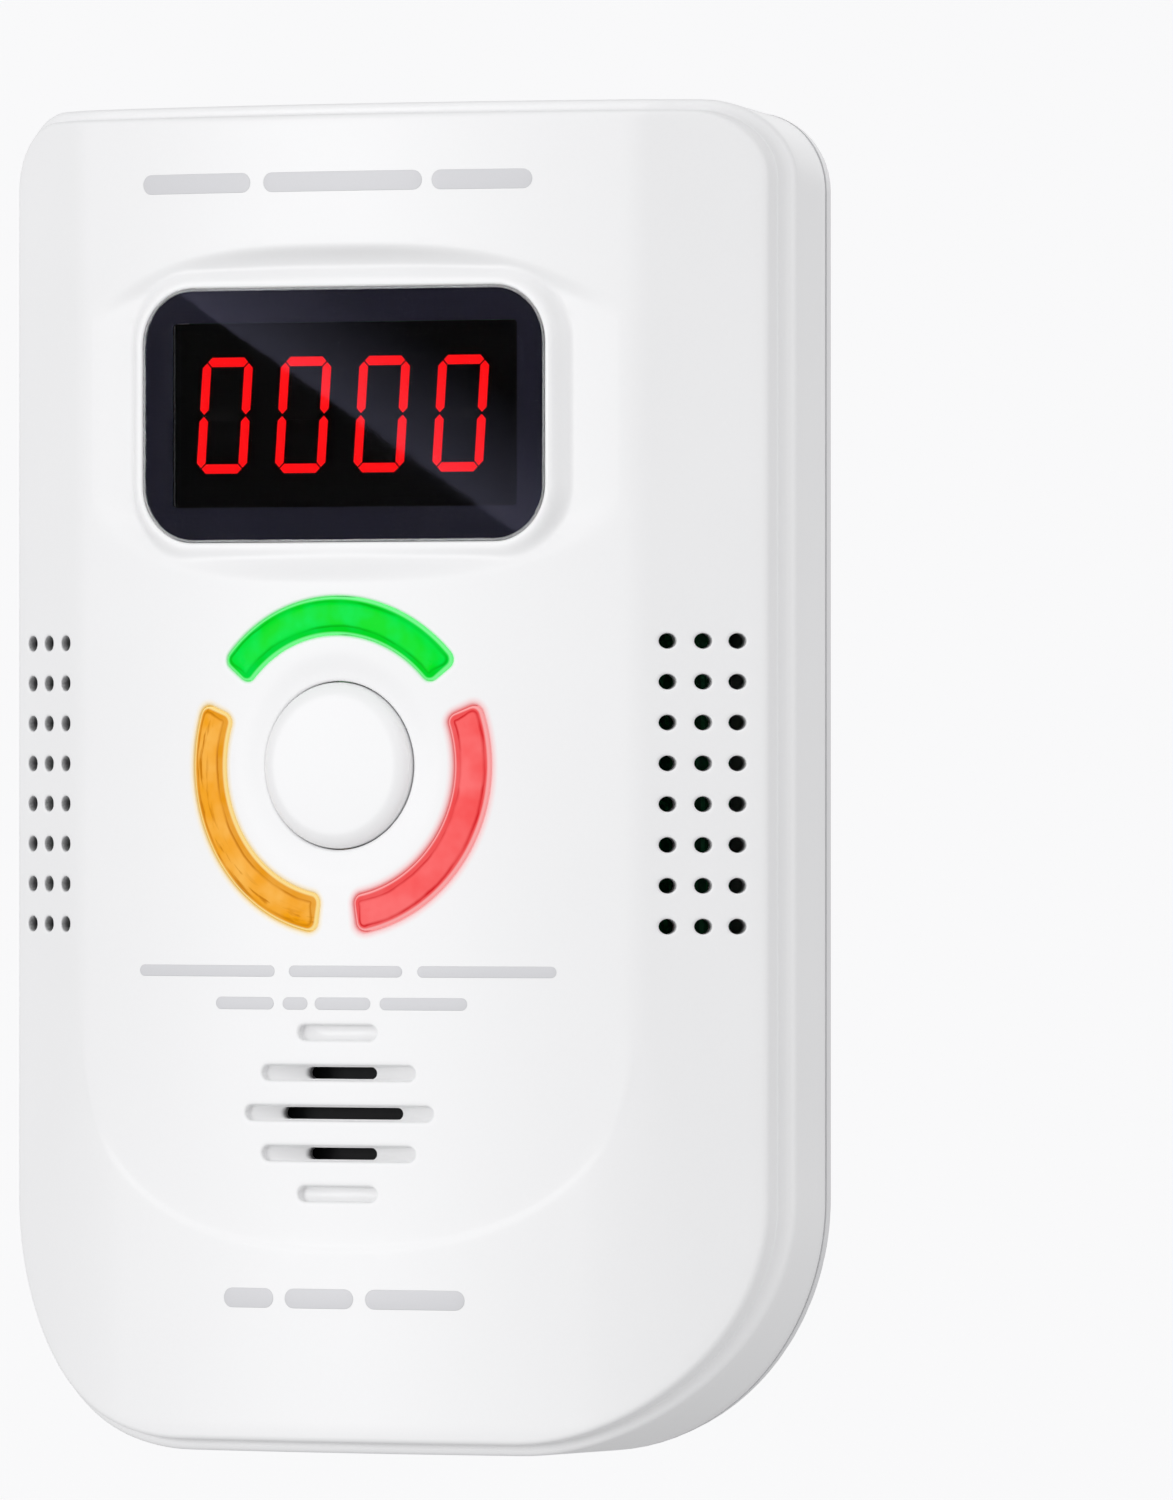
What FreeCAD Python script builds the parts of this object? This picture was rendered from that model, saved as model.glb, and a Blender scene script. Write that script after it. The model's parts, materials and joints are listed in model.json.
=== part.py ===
"""Plug-in carbon monoxide detector, with its case, boards, sensor, sounder, display and battery.

The frame is millimetres with +Z up and +X to the right as seen from the front. The front faces -Y.
The plane y = 0 is the wall that the rear pod rests on, and only the mains blades pass through it.
z = 0 is the middle of the case's height, and x = 0 is its plane of symmetry.
A depth is a distance behind the foremost line of the front panel, and at() turns it into a y.
"""

import FreeCAD
import Part
import math
import os

V = FreeCAD.Vector

# ---------------------------------------------------------------- driving dimensions
DEPTH = 34.0  # front panel to wall
HOUSING_DEPTH = 22.0  # front panel to the back of the main housing
PARTING_DEPTH = 20.0  # front panel to the seam between the two covers
WALL = 2.0  # general wall of the mouldings
SKIN = 2.4  # front wall, measured along Y

FACE_HALF_W = 41.4  # raised front face
FACE_HALF_H = 63.9
FACE_R_TOP = 6.5
FACE_R_BOTTOM = 23.0
FACE_STEP = 2.1  # height of the face above the lip that surrounds it

CROWN_HALF = 30.6  # centre panel, from the middle to its crease
CROWN_SAG = 3.8  # how far the crease lies behind the middle
WING_SLOPE = math.tan(math.radians(31.6))  # depth gained per mm outwards on the wings
PANEL_RISE = 0.15  # the centre panel above the face below its rounded end
PANEL_STRAIGHT_Z = -23.3  # where the crease starts to turn inwards
PANEL_BOTTOM_Z = -45.3
PANEL_POWER = 2.4  # exponent of the superellipse that closes the crease

DISPLAY_Z = 35.0
EYE_HALF_W = 29.0  # shallow recess round the window
EYE_HALF_H = 16.4
EYE_TAPER = 5.7  # how much lower the recess is at its ends
EYE_DEPTH = 1.3
WINDOW_HALF_W = 22.2
WINDOW_HALF_H = 12.4
WINDOW_R = 5.6
WINDOW_DEPTH = 1.25
WINDOW_RIM = 0.6
LENS_T = 0.6  # with the printed border
MASK_T = 0.2
SCREEN_HALF_W = 18.9
SCREEN_HALF_H = 8.9
DIGIT_H = 11.2
DIGIT_W = 5.5
DIGIT_PITCH = 8.65
DIGIT_STROKE = 0.9
DIGIT_SLANT = math.tan(math.radians(4.0))
DIGIT_SHIFT = -0.4  # the row of digits is a little off the middle of the module
DIGIT_COUNT = 4

RING_Z = 1.2
RING_IN = 12.5
RING_OUT = 16.2
RING_SPAN = 104.0  # degrees of each coloured arc
RING_GAP = 0.1
RING_PROUD = 0.15
RING_ANGLES = {"green": 90.0, "amber": 210.0, "red": -30.0}
DISH_R = 11.5
DISH_DEPTH = 0.3  # shallow dish between the arcs and the button
BUTTON_R = 8.0
BUTTON_HOLE_R = 8.2
BUTTON_PROUD = 0.75
FLANGE_R = 9.3  # the button's retaining flange, behind the front wall
FLANGE_FRONT = 3.4
STEM_FRONT = 4.4
PLUNGER_FRONT = 5.9
PLUNGER_R = 1.7

SLOT_Z = -24.5  # top row of the sounder slots
SLOT_PITCH = 3.88
GROOVE_HALF_L = (4.3, 8.4, 10.3, 8.4, 4.3)
GROOVE_HALF_H = 0.72
GROOVE_DEPTH = 0.8
SLOT_HALF_L = (0.0, 4.0, 6.8, 4.0, 0.0)  # the rows that are cut right through
SLOT_HALF_H = 0.6

VENT_R = 0.75
VENT_Z = 13.1
VENT_PITCH = 3.9
VENT_ROWS = 8
VENT_X = (33.1, 36.0, 38.8)

POD_HALF_W = 31.0  # the rear pod that stands off the housing
POD_TOP = 50.0
POD_BOTTOM = -44.0
POD_R = 8.0
RIM_ROUND = 1.0  # edges of the rear cover's back face
DOOR_EDGE = 0.3  # chamfer round the battery door

PCB_FRONT = 10.6  # depth of the main board's front face
PCB_T = 1.6
PCB_BACK = PCB_FRONT + PCB_T
PCB_HALF_W = 36.4
PCB_HALF_H = 60.0
CASE_SCREWS = ((31.0, 55.0), (-31.0, 55.0), (24.0, -54.0), (-24.0, -54.0))
PCB_SCREWS = ((33.0, 24.0), (-33.0, 24.0), (33.0, -23.0), (-33.0, -23.0))

BATTERY_W = 26.2  # nine volt block
BATTERY_T = 17.3
BATTERY_L = 46.0
WELL_HALF_W = 14.0  # battery compartment
WELL_BOTTOM = -41.4
WELL_TOP = 10.0
WELL_FLOOR = 13.9  # depth of the floor the battery lies on
DOOR_HALF_W = 16.5
DOOR_TOP = 13.0
DOOR_T = 1.8
DOOR_SINK = 0.2  # how far the door lies below the wall face
DOOR_GAP = 0.3
HINGE_Z = -41.2
HINGE_R = 0.7
PIN_L = 1.5

PLUG_Z = 29.0
BLADE_SPACING = 12.7
BLADE_H = 6.35
BLADE_T = 1.5
BLADE_L = 17.0
POWER_FRONT = 24.4  # depth of the power board's front face
POWER_BACK = POWER_FRONT + PCB_T

FAR = 75.0  # half length of the cutting prisms


# ---------------------------------------------------------------- shapes the parts share
def at(depth):
    """y of a depth behind the foremost line of the front panel."""
    return depth - DEPTH


def box(x0, x1, d0, d1, z0, z1):
    """Block between two corners, with its Y range given as depths."""
    return Part.makeBox(x1 - x0, d1 - d0, z1 - z0, V(x0, at(d0), z0))


def disc(radius, x, z, d0, d1):
    """Cylinder along Y."""
    return Part.makeCylinder(radius, d1 - d0, V(x, at(d0), z), V(0, 1, 0))


def tube(outer, inner, x, z, d0, d1):
    """Ring along Y."""
    return disc(outer, x, z, d0, d1).cut(disc(inner, x, z, d0 - 1, d1 + 1))


def rounded_wire(half_w, top, bottom, r_top, r_bottom, depth):
    """Closed outline in a plane of constant y, symmetric in x, with its four corners as arcs."""
    y = at(depth)

    def corner(sx, sz, radius, limit):
        cx = sx * (half_w - radius)
        cz = limit - sz * radius
        h = radius * math.sqrt(0.5)
        side = V(cx + sx * radius, y, cz)
        end = V(cx, y, cz + sz * radius)
        return side, V(cx + sx * h, y, cz + sz * h), end

    tr = corner(1, 1, r_top, top)
    tl = corner(-1, 1, r_top, top)
    bl = corner(-1, -1, r_bottom, bottom)
    br = corner(1, -1, r_bottom, bottom)
    edges = [
        Part.Arc(tr[0], tr[1], tr[2]).toShape(),
        Part.makeLine(tr[2], tl[2]),
        Part.Arc(tl[2], tl[1], tl[0]).toShape(),
        Part.makeLine(tl[0], bl[0]),
        Part.Arc(bl[0], bl[1], bl[2]).toShape(),
        Part.makeLine(bl[2], br[2]),
        Part.Arc(br[2], br[1], br[0]).toShape(),
        Part.makeLine(br[0], tr[0]),
    ]
    return Part.Wire(edges)


def rounded_prism(half_w, top, bottom, r_top, r_bottom, d0, d1):
    """Straight prism along Y over a rounded outline."""
    wire = rounded_wire(half_w, top, bottom, r_top, r_bottom, d0)
    return Part.Face(wire).extrude(V(0, d1 - d0, 0))


def plate(half_w, half_h, radius, z, d0, d1):
    """Rounded plate centred on x = 0."""
    return rounded_prism(half_w, z + half_h, z - half_h, radius, radius, d0, d1)


def slot(half_l, half_h, z, d0, d1):
    """Bar along X with round ends."""
    return plate(half_l, half_h, half_h * 0.98, z, d0, d1)


def drafted(front, back, d0, d1):
    """Ruled solid between two outlines, each given as (half_w, top, bottom, r_top, r_bottom)."""
    return Part.makeLoft([rounded_wire(*front, d0), rounded_wire(*back, d1)], True, True)


def behind_profile(shift, dip=0.0):
    """Everything behind the crowned front profile, up to the seam.

    shift moves the whole profile back. dip moves back only the crown between the two wings.
    """
    edge = CROWN_HALF + 20.0
    crease = CROWN_SAG + shift
    rim = crease + (edge - CROWN_HALF) * WING_SLOPE
    inner = CROWN_HALF + dip / WING_SLOPE
    a = V(-edge, at(rim), -FAR)
    b = V(-inner, at(crease + dip), -FAR)
    middle = V(0, at(shift + dip), -FAR)
    c = V(inner, at(crease + dip), -FAR)
    d = V(edge, at(rim), -FAR)
    e = V(edge, at(PARTING_DEPTH), -FAR)
    f = V(-edge, at(PARTING_DEPTH), -FAR)
    edges = [
        Part.makeLine(a, b),
        Part.Arc(b, middle, c).toShape(),
        Part.makeLine(c, d),
        Part.makeLine(d, e),
        Part.makeLine(e, f),
        Part.makeLine(f, a),
    ]
    return Part.Face(Part.Wire(edges)).extrude(V(0, 0, 2 * FAR))


def sector(r_in, r_out, middle_deg, span_deg, d0, d1):
    """Piece of a ring about the button's axis."""
    start = math.radians(middle_deg - span_deg / 2)
    stop = math.radians(middle_deg + span_deg / 2)
    half = math.radians(middle_deg)

    def point(radius, angle):
        return V(radius * math.cos(angle), at(d0), RING_Z + radius * math.sin(angle))

    edges = [
        Part.Arc(point(r_out, start), point(r_out, half), point(r_out, stop)).toShape(),
        Part.makeLine(point(r_out, stop), point(r_in, stop)),
        Part.Arc(point(r_in, stop), point(r_in, half), point(r_in, start)).toShape(),
        Part.makeLine(point(r_in, start), point(r_out, start)),
    ]
    return Part.Face(Part.Wire(edges)).extrude(V(0, d1 - d0, 0))


def turned(points, x, z):
    """Solid of revolution about Y from (radius, depth) points, straight between them."""
    wire = Part.makePolygon([V(x + r, at(d), z) for r, d in points + points[:1]])
    return Part.Face(wire).revolve(V(x, 0, z), V(0, 1, 0), 360)


def joined(shapes):
    """One solid from pieces that overlap."""
    first = shapes[0]
    for other in shapes[1:]:
        first = first.fuse(other)
    return first.removeSplitter()


def without(shape, cutters):
    """The shape with all the cutters taken out of it."""
    return shape.cut(Part.makeCompound(cutters))


def save(name, shape):
    """One STEP file for one named sub-part. A group of solids is kept as separate solids."""
    if not shape.isValid() or not shape.Solids:
        raise ValueError(name + " is not a valid solid")
    if len(shape.Solids) == 1:
        shape = shape.Solids[0]
    shape.exportStep("parts/" + name + ".step")


# ---------------------------------------------------------------- front cover
FACE = (FACE_HALF_W, FACE_HALF_H, -FACE_HALF_H, FACE_R_TOP, FACE_R_BOTTOM)
# The side wall tapers from the lip to the seam. Its outline is given at depth 0 and at the seam.
SIDE_FRONT = (43.0, 65.05, -65.0, 8.4, 25.0)
SIDE_SEAM = (42.75, 63.95, -65.0, 7.6, 24.6)
SIDE_BACK = (42.35, 63.6, -64.7, 7.3, 24.3)
CAVITY = (FACE_HALF_W - 1.7, FACE_HALF_H - 2.1, 2.1 - FACE_HALF_H, 4.5, 21.0)


def crease_prism():
    """Prism over the centre panel: straight sides, closed at the bottom by a superellipse."""
    steps = 24
    drop = PANEL_STRAIGHT_Z - PANEL_BOTTOM_Z
    points = []
    for i in range(steps + 1):
        t = math.pi * i / steps
        c = math.cos(t)
        s = math.sin(t)
        x = -CROWN_HALF * math.copysign(abs(c) ** (2 / PANEL_POWER), c)
        z = PANEL_STRAIGHT_Z - drop * abs(s) ** (2 / PANEL_POWER)
        points.append(V(x, at(-5), z))
    curve = Part.BSplineCurve()
    curve.interpolate(points)
    top_left = V(-CROWN_HALF, at(-5), FAR)
    top_right = V(CROWN_HALF, at(-5), FAR)
    edges = [
        Part.makeLine(top_left, points[0]),
        curve.toShape(),
        Part.makeLine(points[-1], top_right),
        Part.makeLine(top_right, top_left),
    ]
    return Part.Face(Part.Wire(edges)).extrude(V(0, PARTING_DEPTH + 5, 0))


def eye_cutter():
    """Shallow recess round the window: an eye-shaped outline over a floor that fades out at its ends."""
    steps = 10
    upper = []
    lower = []
    for i in range(steps + 1):
        x = EYE_HALF_W * (2 * i / steps - 1)
        half = EYE_HALF_H - EYE_TAPER * abs(x / EYE_HALF_W) ** 3
        upper.append(V(x, at(-5), DISPLAY_Z + half))
        lower.append(V(x, at(-5), DISPLAY_Z - half))
    brow = Part.BSplineCurve()
    brow.interpolate(upper)
    smile = Part.BSplineCurve()
    smile.interpolate(lower)
    edges = [
        brow.toShape(),
        Part.makeLine(upper[-1], lower[-1]),
        smile.toShape(),
        Part.makeLine(lower[0], upper[0]),
    ]
    outline = Part.Face(Part.Wire(edges)).extrude(V(0, 15, 0))
    radius = (CROWN_HALF**2 + CROWN_SAG**2) / (2 * CROWN_SAG)
    fade = radius - math.sqrt(radius**2 - EYE_HALF_W**2)
    ends = [V(-EYE_HALF_W, at(fade), 0), V(0, at(EYE_DEPTH), 0), V(EYE_HALF_W, at(fade), 0)]
    corners = [V(EYE_HALF_W, at(-5), 0), V(-EYE_HALF_W, at(-5), 0)]
    floor = [
        Part.Arc(*ends).toShape(),
        Part.makeLine(ends[2], corners[0]),
        Part.makeLine(corners[0], corners[1]),
        Part.makeLine(corners[1], ends[0]),
    ]
    space = Part.Face(Part.Wire(floor)).extrude(V(0, 0, FAR))
    return outline.common(space)


def front_cover():
    """Front moulding: panel, wings, lip and side wall, with its openings and the bosses inside."""
    face = rounded_prism(*FACE, -5, PARTING_DEPTH)
    low = behind_profile(0, PANEL_RISE).common(face)
    wings = box(-FAR, FAR, -5, PARTING_DEPTH, PANEL_STRAIGHT_Z, FAR)
    high = behind_profile(0).common(face).common(crease_prism().fuse(wings))
    skirt = drafted(SIDE_FRONT, SIDE_SEAM, 0, PARTING_DEPTH).common(behind_profile(FACE_STEP))
    outer = joined([low, high, skirt])

    pad = plate(
        WINDOW_HALF_W + WINDOW_RIM,
        WINDOW_HALF_H + WINDOW_RIM,
        WINDOW_R + WINDOW_RIM,
        DISPLAY_Z,
        WINDOW_DEPTH,
        6.0,
    )
    outer = outer.cut(eye_cutter()).fuse(pad)

    cavity = rounded_prism(*CAVITY, -5, PARTING_DEPTH + 1).common(
        behind_profile(SKIN).fuse(box(-FAR, FAR, PARTING_DEPTH - 1, PARTING_DEPTH + 1, -FAR, FAR))
    )
    seat = plate(WINDOW_HALF_W + 2, WINDOW_HALF_H + 2, WINDOW_R, DISPLAY_Z, WINDOW_DEPTH, 5.0)
    shell = outer.cut(cavity).fuse(seat)

    rim = DISH_DEPTH / 2
    dish = [(0, -1), (DISH_R + 0.6, -1), (DISH_R, rim), (BUTTON_HOLE_R, rim + DISH_DEPTH), (0, 1)]
    cutters = [
        plate(WINDOW_HALF_W + 0.05, WINDOW_HALF_H + 0.05, WINDOW_R, DISPLAY_Z, 0, WINDOW_DEPTH + LENS_T),
        plate(SCREEN_HALF_W + 0.3, SCREEN_HALF_H + 0.3, 0.5, DISPLAY_Z, 0, 12),
        turned(dish, 0, RING_Z),
        disc(BUTTON_HOLE_R, 0, RING_Z, -2, 6),
    ]
    for middle in RING_ANGLES.values():
        cutters.append(sector(RING_IN - RING_GAP, RING_OUT + RING_GAP, middle, RING_SPAN + 0.8, -2, 8))
    for row in range(len(GROOVE_HALF_L)):
        z = SLOT_Z - SLOT_PITCH * row
        cutters.append(slot(GROOVE_HALF_L[row], GROOVE_HALF_H, z, -2, GROOVE_DEPTH + 0.3))
        if SLOT_HALF_L[row]:
            cutters.append(slot(SLOT_HALF_L[row], SLOT_HALF_H, z, -2, 5))
    for x in VENT_X:
        for row in range(VENT_ROWS):
            z = VENT_Z - VENT_PITCH * row
            cutters.append(disc(VENT_R, x, z, 0, 16))
            cutters.append(disc(VENT_R, -x, z, 0, 16))

    bosses = [disc(3.2, x, z, 4.5, 18.0) for x, z in CASE_SCREWS]
    bosses += [disc(2.8, x, z, 4.5, PCB_FRONT) for x, z in PCB_SCREWS]
    shell = joined([shell] + [b.common(outer) for b in bosses])
    cutters += [disc(1.15, x, z, 10.0, 19.0) for x, z in CASE_SCREWS]
    cutters += [disc(1.05, x, z, 7.6, PCB_FRONT + 1) for x, z in PCB_SCREWS]
    return without(shell, cutters)


# ---------------------------------------------------------------- display
def display_lens():
    """Clear flat window, in front of its printed border."""
    back = WINDOW_DEPTH + LENS_T - MASK_T
    return plate(WINDOW_HALF_W, WINDOW_HALF_H, WINDOW_R, DISPLAY_Z, WINDOW_DEPTH, back)


def window_mask():
    """Dark border printed behind the window, with the opening that the digits show through."""
    back = WINDOW_DEPTH + LENS_T
    border = plate(WINDOW_HALF_W, WINDOW_HALF_H, WINDOW_R, DISPLAY_Z, back - MASK_T, back)
    return border.cut(plate(SCREEN_HALF_W, SCREEN_HALF_H, 0.4, DISPLAY_Z, 0, 5))


MODULE_FACE = WINDOW_DEPTH + LENS_T + 0.25


def led_module():
    """Body of the four-digit display, standing on the board."""
    bottom = DISPLAY_Z - SCREEN_HALF_H
    return box(-SCREEN_HALF_W, SCREEN_HALF_W, MODULE_FACE, PCB_FRONT, bottom, bottom + 2 * SCREEN_HALF_H)


def segment_bar(x0, z0, x1, z1, cx):
    """One display segment: a six-sided bar with pointed ends, leaning with the digit."""
    length = math.hypot(x1 - x0, z1 - z0)
    ux = (x1 - x0) / length
    uz = (z1 - z0) / length
    h = DIGIT_STROKE / 2
    trim = 0.12
    spine = [(trim, 0), (trim + h, h), (length - trim - h, h)]
    spine += [(length - trim, 0), (length - trim - h, -h), (trim + h, -h)]
    points = []
    for a, b in spine:
        x = x0 + ux * a - uz * b
        z = z0 + uz * a + ux * b
        points.append(V(cx + x + z * DIGIT_SLANT, at(MODULE_FACE - 0.1), DISPLAY_Z + z))
    return Part.Face(Part.makePolygon(points + points[:1])).extrude(V(0, 0.1, 0))


def digits(middle_only):
    """The lit segments of the four zeros, or else the unlit bar in the middle of each."""
    w = (DIGIT_W - DIGIT_STROKE) / 2
    h = (DIGIT_H - DIGIT_STROKE) / 2
    lit = [(-w, h, w, h), (w, 0, w, h), (w, -h, w, 0), (-w, -h, w, -h), (-w, -h, -w, 0), (-w, 0, -w, h)]
    bars = [(-w, 0, w, 0)] if middle_only else lit
    solids = []
    for i in range(DIGIT_COUNT):
        cx = DIGIT_SHIFT + DIGIT_PITCH * (i - (DIGIT_COUNT - 1) / 2)
        solids += [segment_bar(*bar, cx) for bar in bars]
    return Part.makeCompound(solids)


# ---------------------------------------------------------------- indicator ring and button
def light_pipe(middle):
    """Coloured lens of one arc. Its face follows the crown of the panel."""
    ring = sector(RING_IN, RING_OUT, middle, RING_SPAN, -2, 5.0)
    return ring.common(behind_profile(-RING_PROUD))


def light_baffle():
    """Ring that stands on the board, seats the three lenses and keeps their light apart."""
    body = tube(16.9, 11.7, 0, RING_Z, 3.7, PCB_FRONT)
    cutters = []
    for middle in RING_ANGLES.values():
        cutters.append(sector(RING_IN - 0.05, RING_OUT + 0.05, middle, RING_SPAN + 0.5, 3, 5.0))
        cutters.append(sector(12.9, 15.6, middle, RING_SPAN - 6, 4, PCB_FRONT + 1))
    return without(body, cutters)


def ring_leds(middle):
    """The two chips under one lens."""
    chips = []
    radius = 14.25
    for offset in (-26, 26):
        angle = math.radians(middle + offset)
        x = radius * math.cos(angle)
        z = RING_Z + radius * math.sin(angle)
        chips.append(box(x - 0.9, x + 0.9, PCB_FRONT - 1.2, PCB_FRONT, z - 0.9, z + 0.9))
    return Part.makeCompound(chips)


def test_button():
    """Domed cap with a retaining flange and the stem that works the switch."""
    top = -BUTTON_PROUD
    dome = [(0, top), (BUTTON_R - 1.0, top + 0.12), (BUTTON_R - 0.3, top + 0.45), (BUTTON_R, top + 1.0)]
    flange = [(BUTTON_R, FLANGE_FRONT), (FLANGE_R, FLANGE_FRONT), (FLANGE_R, STEM_FRONT), (0, STEM_FRONT)]
    cap = turned(dome + flange, 0, RING_Z)
    return cap.fuse(disc(2.0, 0, RING_Z, STEM_FRONT, PLUNGER_FRONT)).removeSplitter()


def switch_plunger():
    """Plunger of the switch, which goes down with the button."""
    return disc(PLUNGER_R, 0, RING_Z, PLUNGER_FRONT, 8.6)


def tact_switch():
    """Switch body with the well that its plunger sinks into."""
    half = 3.1
    body = box(-half, half, 7.1, PCB_FRONT, RING_Z - half, RING_Z + half)
    return body.cut(disc(PLUNGER_R + 0.2, 0, RING_Z, 6, 9.8))


# ---------------------------------------------------------------- main board
def main_pcb():
    """Board that fills the front housing, with holes for bosses, screws and gas."""
    board = rounded_prism(PCB_HALF_W, PCB_HALF_H, -PCB_HALF_H, 3.0, 19.0, PCB_FRONT, PCB_BACK)
    holes = [disc(3.6, x, z, PCB_FRONT - 1, PCB_BACK + 1) for x, z in CASE_SCREWS]
    holes += [disc(1.1, x, z, PCB_FRONT - 1, PCB_BACK + 1) for x, z in PCB_SCREWS]
    holes += [disc(1.5, x, 50.0, PCB_FRONT - 1, PCB_BACK + 1) for x in (-24.0, -19.0, -14.0)]
    return without(board, holes)


def front_chip(x, z, w, h, tall):
    """Component on the front of the main board."""
    return box(x - w / 2, x + w / 2, PCB_FRONT - tall, PCB_FRONT, z - h / 2, z + h / 2)


def microcontroller():
    """Square chip beside the sounder."""
    return front_chip(25.0, -33.0, 10.0, 10.0, 1.5)


def driver_chips():
    """Two chips that drive the display and the arcs."""
    return Part.makeCompound([front_chip(-25.0, z, 6.0, 10.0, 1.6) for z in (-29.0, -42.0)])


def crystal():
    """Metal can of the clock crystal."""
    return front_chip(24.5, -44.0, 10.5, 4.2, 3.2)


def board_resistors():
    """Row of chip resistors above the display."""
    return Part.makeCompound([front_chip(-13.5 + 3.0 * i, 52.0, 1.6, 3.2, 0.6) for i in range(10)])


def board_capacitors():
    """Electrolytic cans on the back of the main board."""
    places = ((25.0, -4.0), (25.0, -13.0), (-25.0, -9.0))
    return Part.makeCompound([disc(3.2, x, z, PCB_BACK, PCB_BACK + 6.2) for x, z in places])


# ---------------------------------------------------------------- sensor
SENSOR_X = -20.0
SENSOR_Z = 38.0
SENSOR_BASE = PCB_BACK + 1.2


def co_sensor_can():
    """Steel can of the gas sensor, with its crimped groove."""
    can = disc(7.6, SENSOR_X, SENSOR_Z, SENSOR_BASE, SENSOR_BASE + 12.5)
    groove = tube(8.5, 7.2, SENSOR_X, SENSOR_Z, SENSOR_BASE + 8.6, SENSOR_BASE + 9.4)
    return can.cut(groove)


def co_sensor_cap():
    """Cap that holds the filter, with its diffusion hole."""
    back = SENSOR_BASE + 12.5
    cap = disc(6.4, SENSOR_X, SENSOR_Z, back, back + 1.6)
    return cap.cut(disc(1.2, SENSOR_X, SENSOR_Z, back + 0.6, back + 2))


def co_sensor_pins():
    """Three pins between the sensor and the board."""
    pins = []
    for i in range(3):
        angle = math.radians(90 + 120 * i)
        x = SENSOR_X + 4.0 * math.cos(angle)
        z = SENSOR_Z + 4.0 * math.sin(angle)
        pins.append(box(x - 0.45, x + 0.45, PCB_BACK, SENSOR_BASE, z - 0.45, z + 0.45))
    return Part.makeCompound(pins)


# ---------------------------------------------------------------- sounder
BUZZER_Z = SLOT_Z - 2 * SLOT_PITCH


BUZZER_R = 14.0
BUZZER_FRONT = 3.7
BUZZER_SKIN = 0.8
PIEZO_R = 12.6
PIEZO_FRONT = 7.1
PIEZO_T = 0.2


def buzzer_housing():
    """Cup on the board, with sound holes in its front wall and a ledge for the sounding plate."""
    ledge = PIEZO_FRONT + PIEZO_T
    ring = tube(BUZZER_R, PIEZO_R + 0.2, 0, BUZZER_Z, BUZZER_FRONT, PCB_FRONT)
    seat = tube(BUZZER_R - 0.6, PIEZO_R - 1.2, 0, BUZZER_Z, ledge, PCB_FRONT)
    front = disc(BUZZER_R - 0.6, 0, BUZZER_Z, BUZZER_FRONT + 0.2, BUZZER_FRONT + 0.2 + BUZZER_SKIN)
    holes = []
    for i in range(6):
        angle = math.radians(60 * i)
        x = 10.3 * math.cos(angle)
        holes.append(disc(1.2, x, BUZZER_Z + 10.3 * math.sin(angle), BUZZER_FRONT - 1, BUZZER_FRONT + 2))
    return without(joined([ring, seat, front]), holes)


def piezo_plate():
    """Brass disc of the sounder."""
    return disc(PIEZO_R, 0, BUZZER_Z, PIEZO_FRONT, PIEZO_FRONT + PIEZO_T)


def piezo_ceramic():
    """Ceramic wafer bonded to the back of the brass disc."""
    front = PIEZO_FRONT + PIEZO_T
    return disc(9.4, 0, BUZZER_Z, front, front + 0.25)


# ---------------------------------------------------------------- mains plug and power board
def plug_block():
    """Insulating block that carries the blades. Its flange bears on the inside of the rear cover."""
    body = plate(12.0, 7.0, 3.0, PLUG_Z, 28.0, DEPTH)
    flange = plate(14.0, 9.0, 3.0, PLUG_Z, 30.0, DEPTH - WALL)
    return without(body.fuse(flange).removeSplitter(), [blade_bar(side, 27, 35) for side in (-1, 1)])


def blade_bar(side, d0, d1):
    """Plain bar with a blade's section."""
    x = side * BLADE_SPACING / 2
    return box(x - BLADE_T / 2, x + BLADE_T / 2, d0, d1, PLUG_Z - BLADE_H / 2, PLUG_Z + BLADE_H / 2)


def blade(side):
    """Flat mains blade with a chamfered tip and the usual round hole near it."""
    tip = DEPTH + BLADE_L
    metal = blade_bar(side, POWER_BACK, tip)
    tip_edges = [e for e in metal.Edges if min(v.Y for v in e.Vertexes) > at(tip) - 0.01]
    metal = metal.makeChamfer(0.5, tip_edges)
    hole_x = side * BLADE_SPACING / 2 - BLADE_T
    hole = Part.makeCylinder(1.6, 2 * BLADE_T, V(hole_x, at(DEPTH + 11.9), PLUG_Z), V(1, 0, 0))
    return metal.cut(hole)


def power_board():
    """Small board behind the battery's head that carries the mains parts."""
    return box(-11.0, 27.0, POWER_FRONT, POWER_BACK, 16.5, 45.5)


def power_part(x, z, w, h, tall):
    """Component on the front of the power board."""
    return box(x - w / 2, x + w / 2, POWER_FRONT - tall, POWER_FRONT, z - h / 2, z + h / 2)


TRANSFORMER = (18.5, 24.5)  # its middle, as (x, z)
COIL_W = 9.8
COIL_H = 8.2
COIL_GAP = 0.1


def transformer_core():
    """Ferrite frame round the coil."""
    x, z = TRANSFORMER
    half_w = COIL_W / 2 + COIL_GAP
    half_h = COIL_H / 2 + COIL_GAP
    window = box(x - half_w, x + half_w, POWER_FRONT - 10, POWER_FRONT + 1, z - half_h, z + half_h)
    return power_part(x, z, 14.0, 13.0, 6.0).cut(window)


def transformer_coil():
    """Taped winding that stands above its core."""
    return power_part(*TRANSFORMER, COIL_W, COIL_H, 9.5)


def filter_capacitor():
    """Electrolytic can that smooths the rectified mains."""
    return disc(4.8, 21.5, 40.0, POWER_FRONT - 10.8, POWER_FRONT)


def film_capacitor():
    """Box capacitor across the mains."""
    return power_part(6.0, 41.5, 13.0, 6.0, 10.0)


def fuse():
    """Ceramic fuse, lying along X."""
    return Part.makeCylinder(2.3, 9.0, V(-0.5, at(POWER_FRONT - 2.3), 21.0), V(1, 0, 0))


def varistor():
    """Disc that absorbs surges, laid flat."""
    return disc(4.0, -5.0, 32.0, POWER_FRONT - 3.0, POWER_FRONT)


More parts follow.
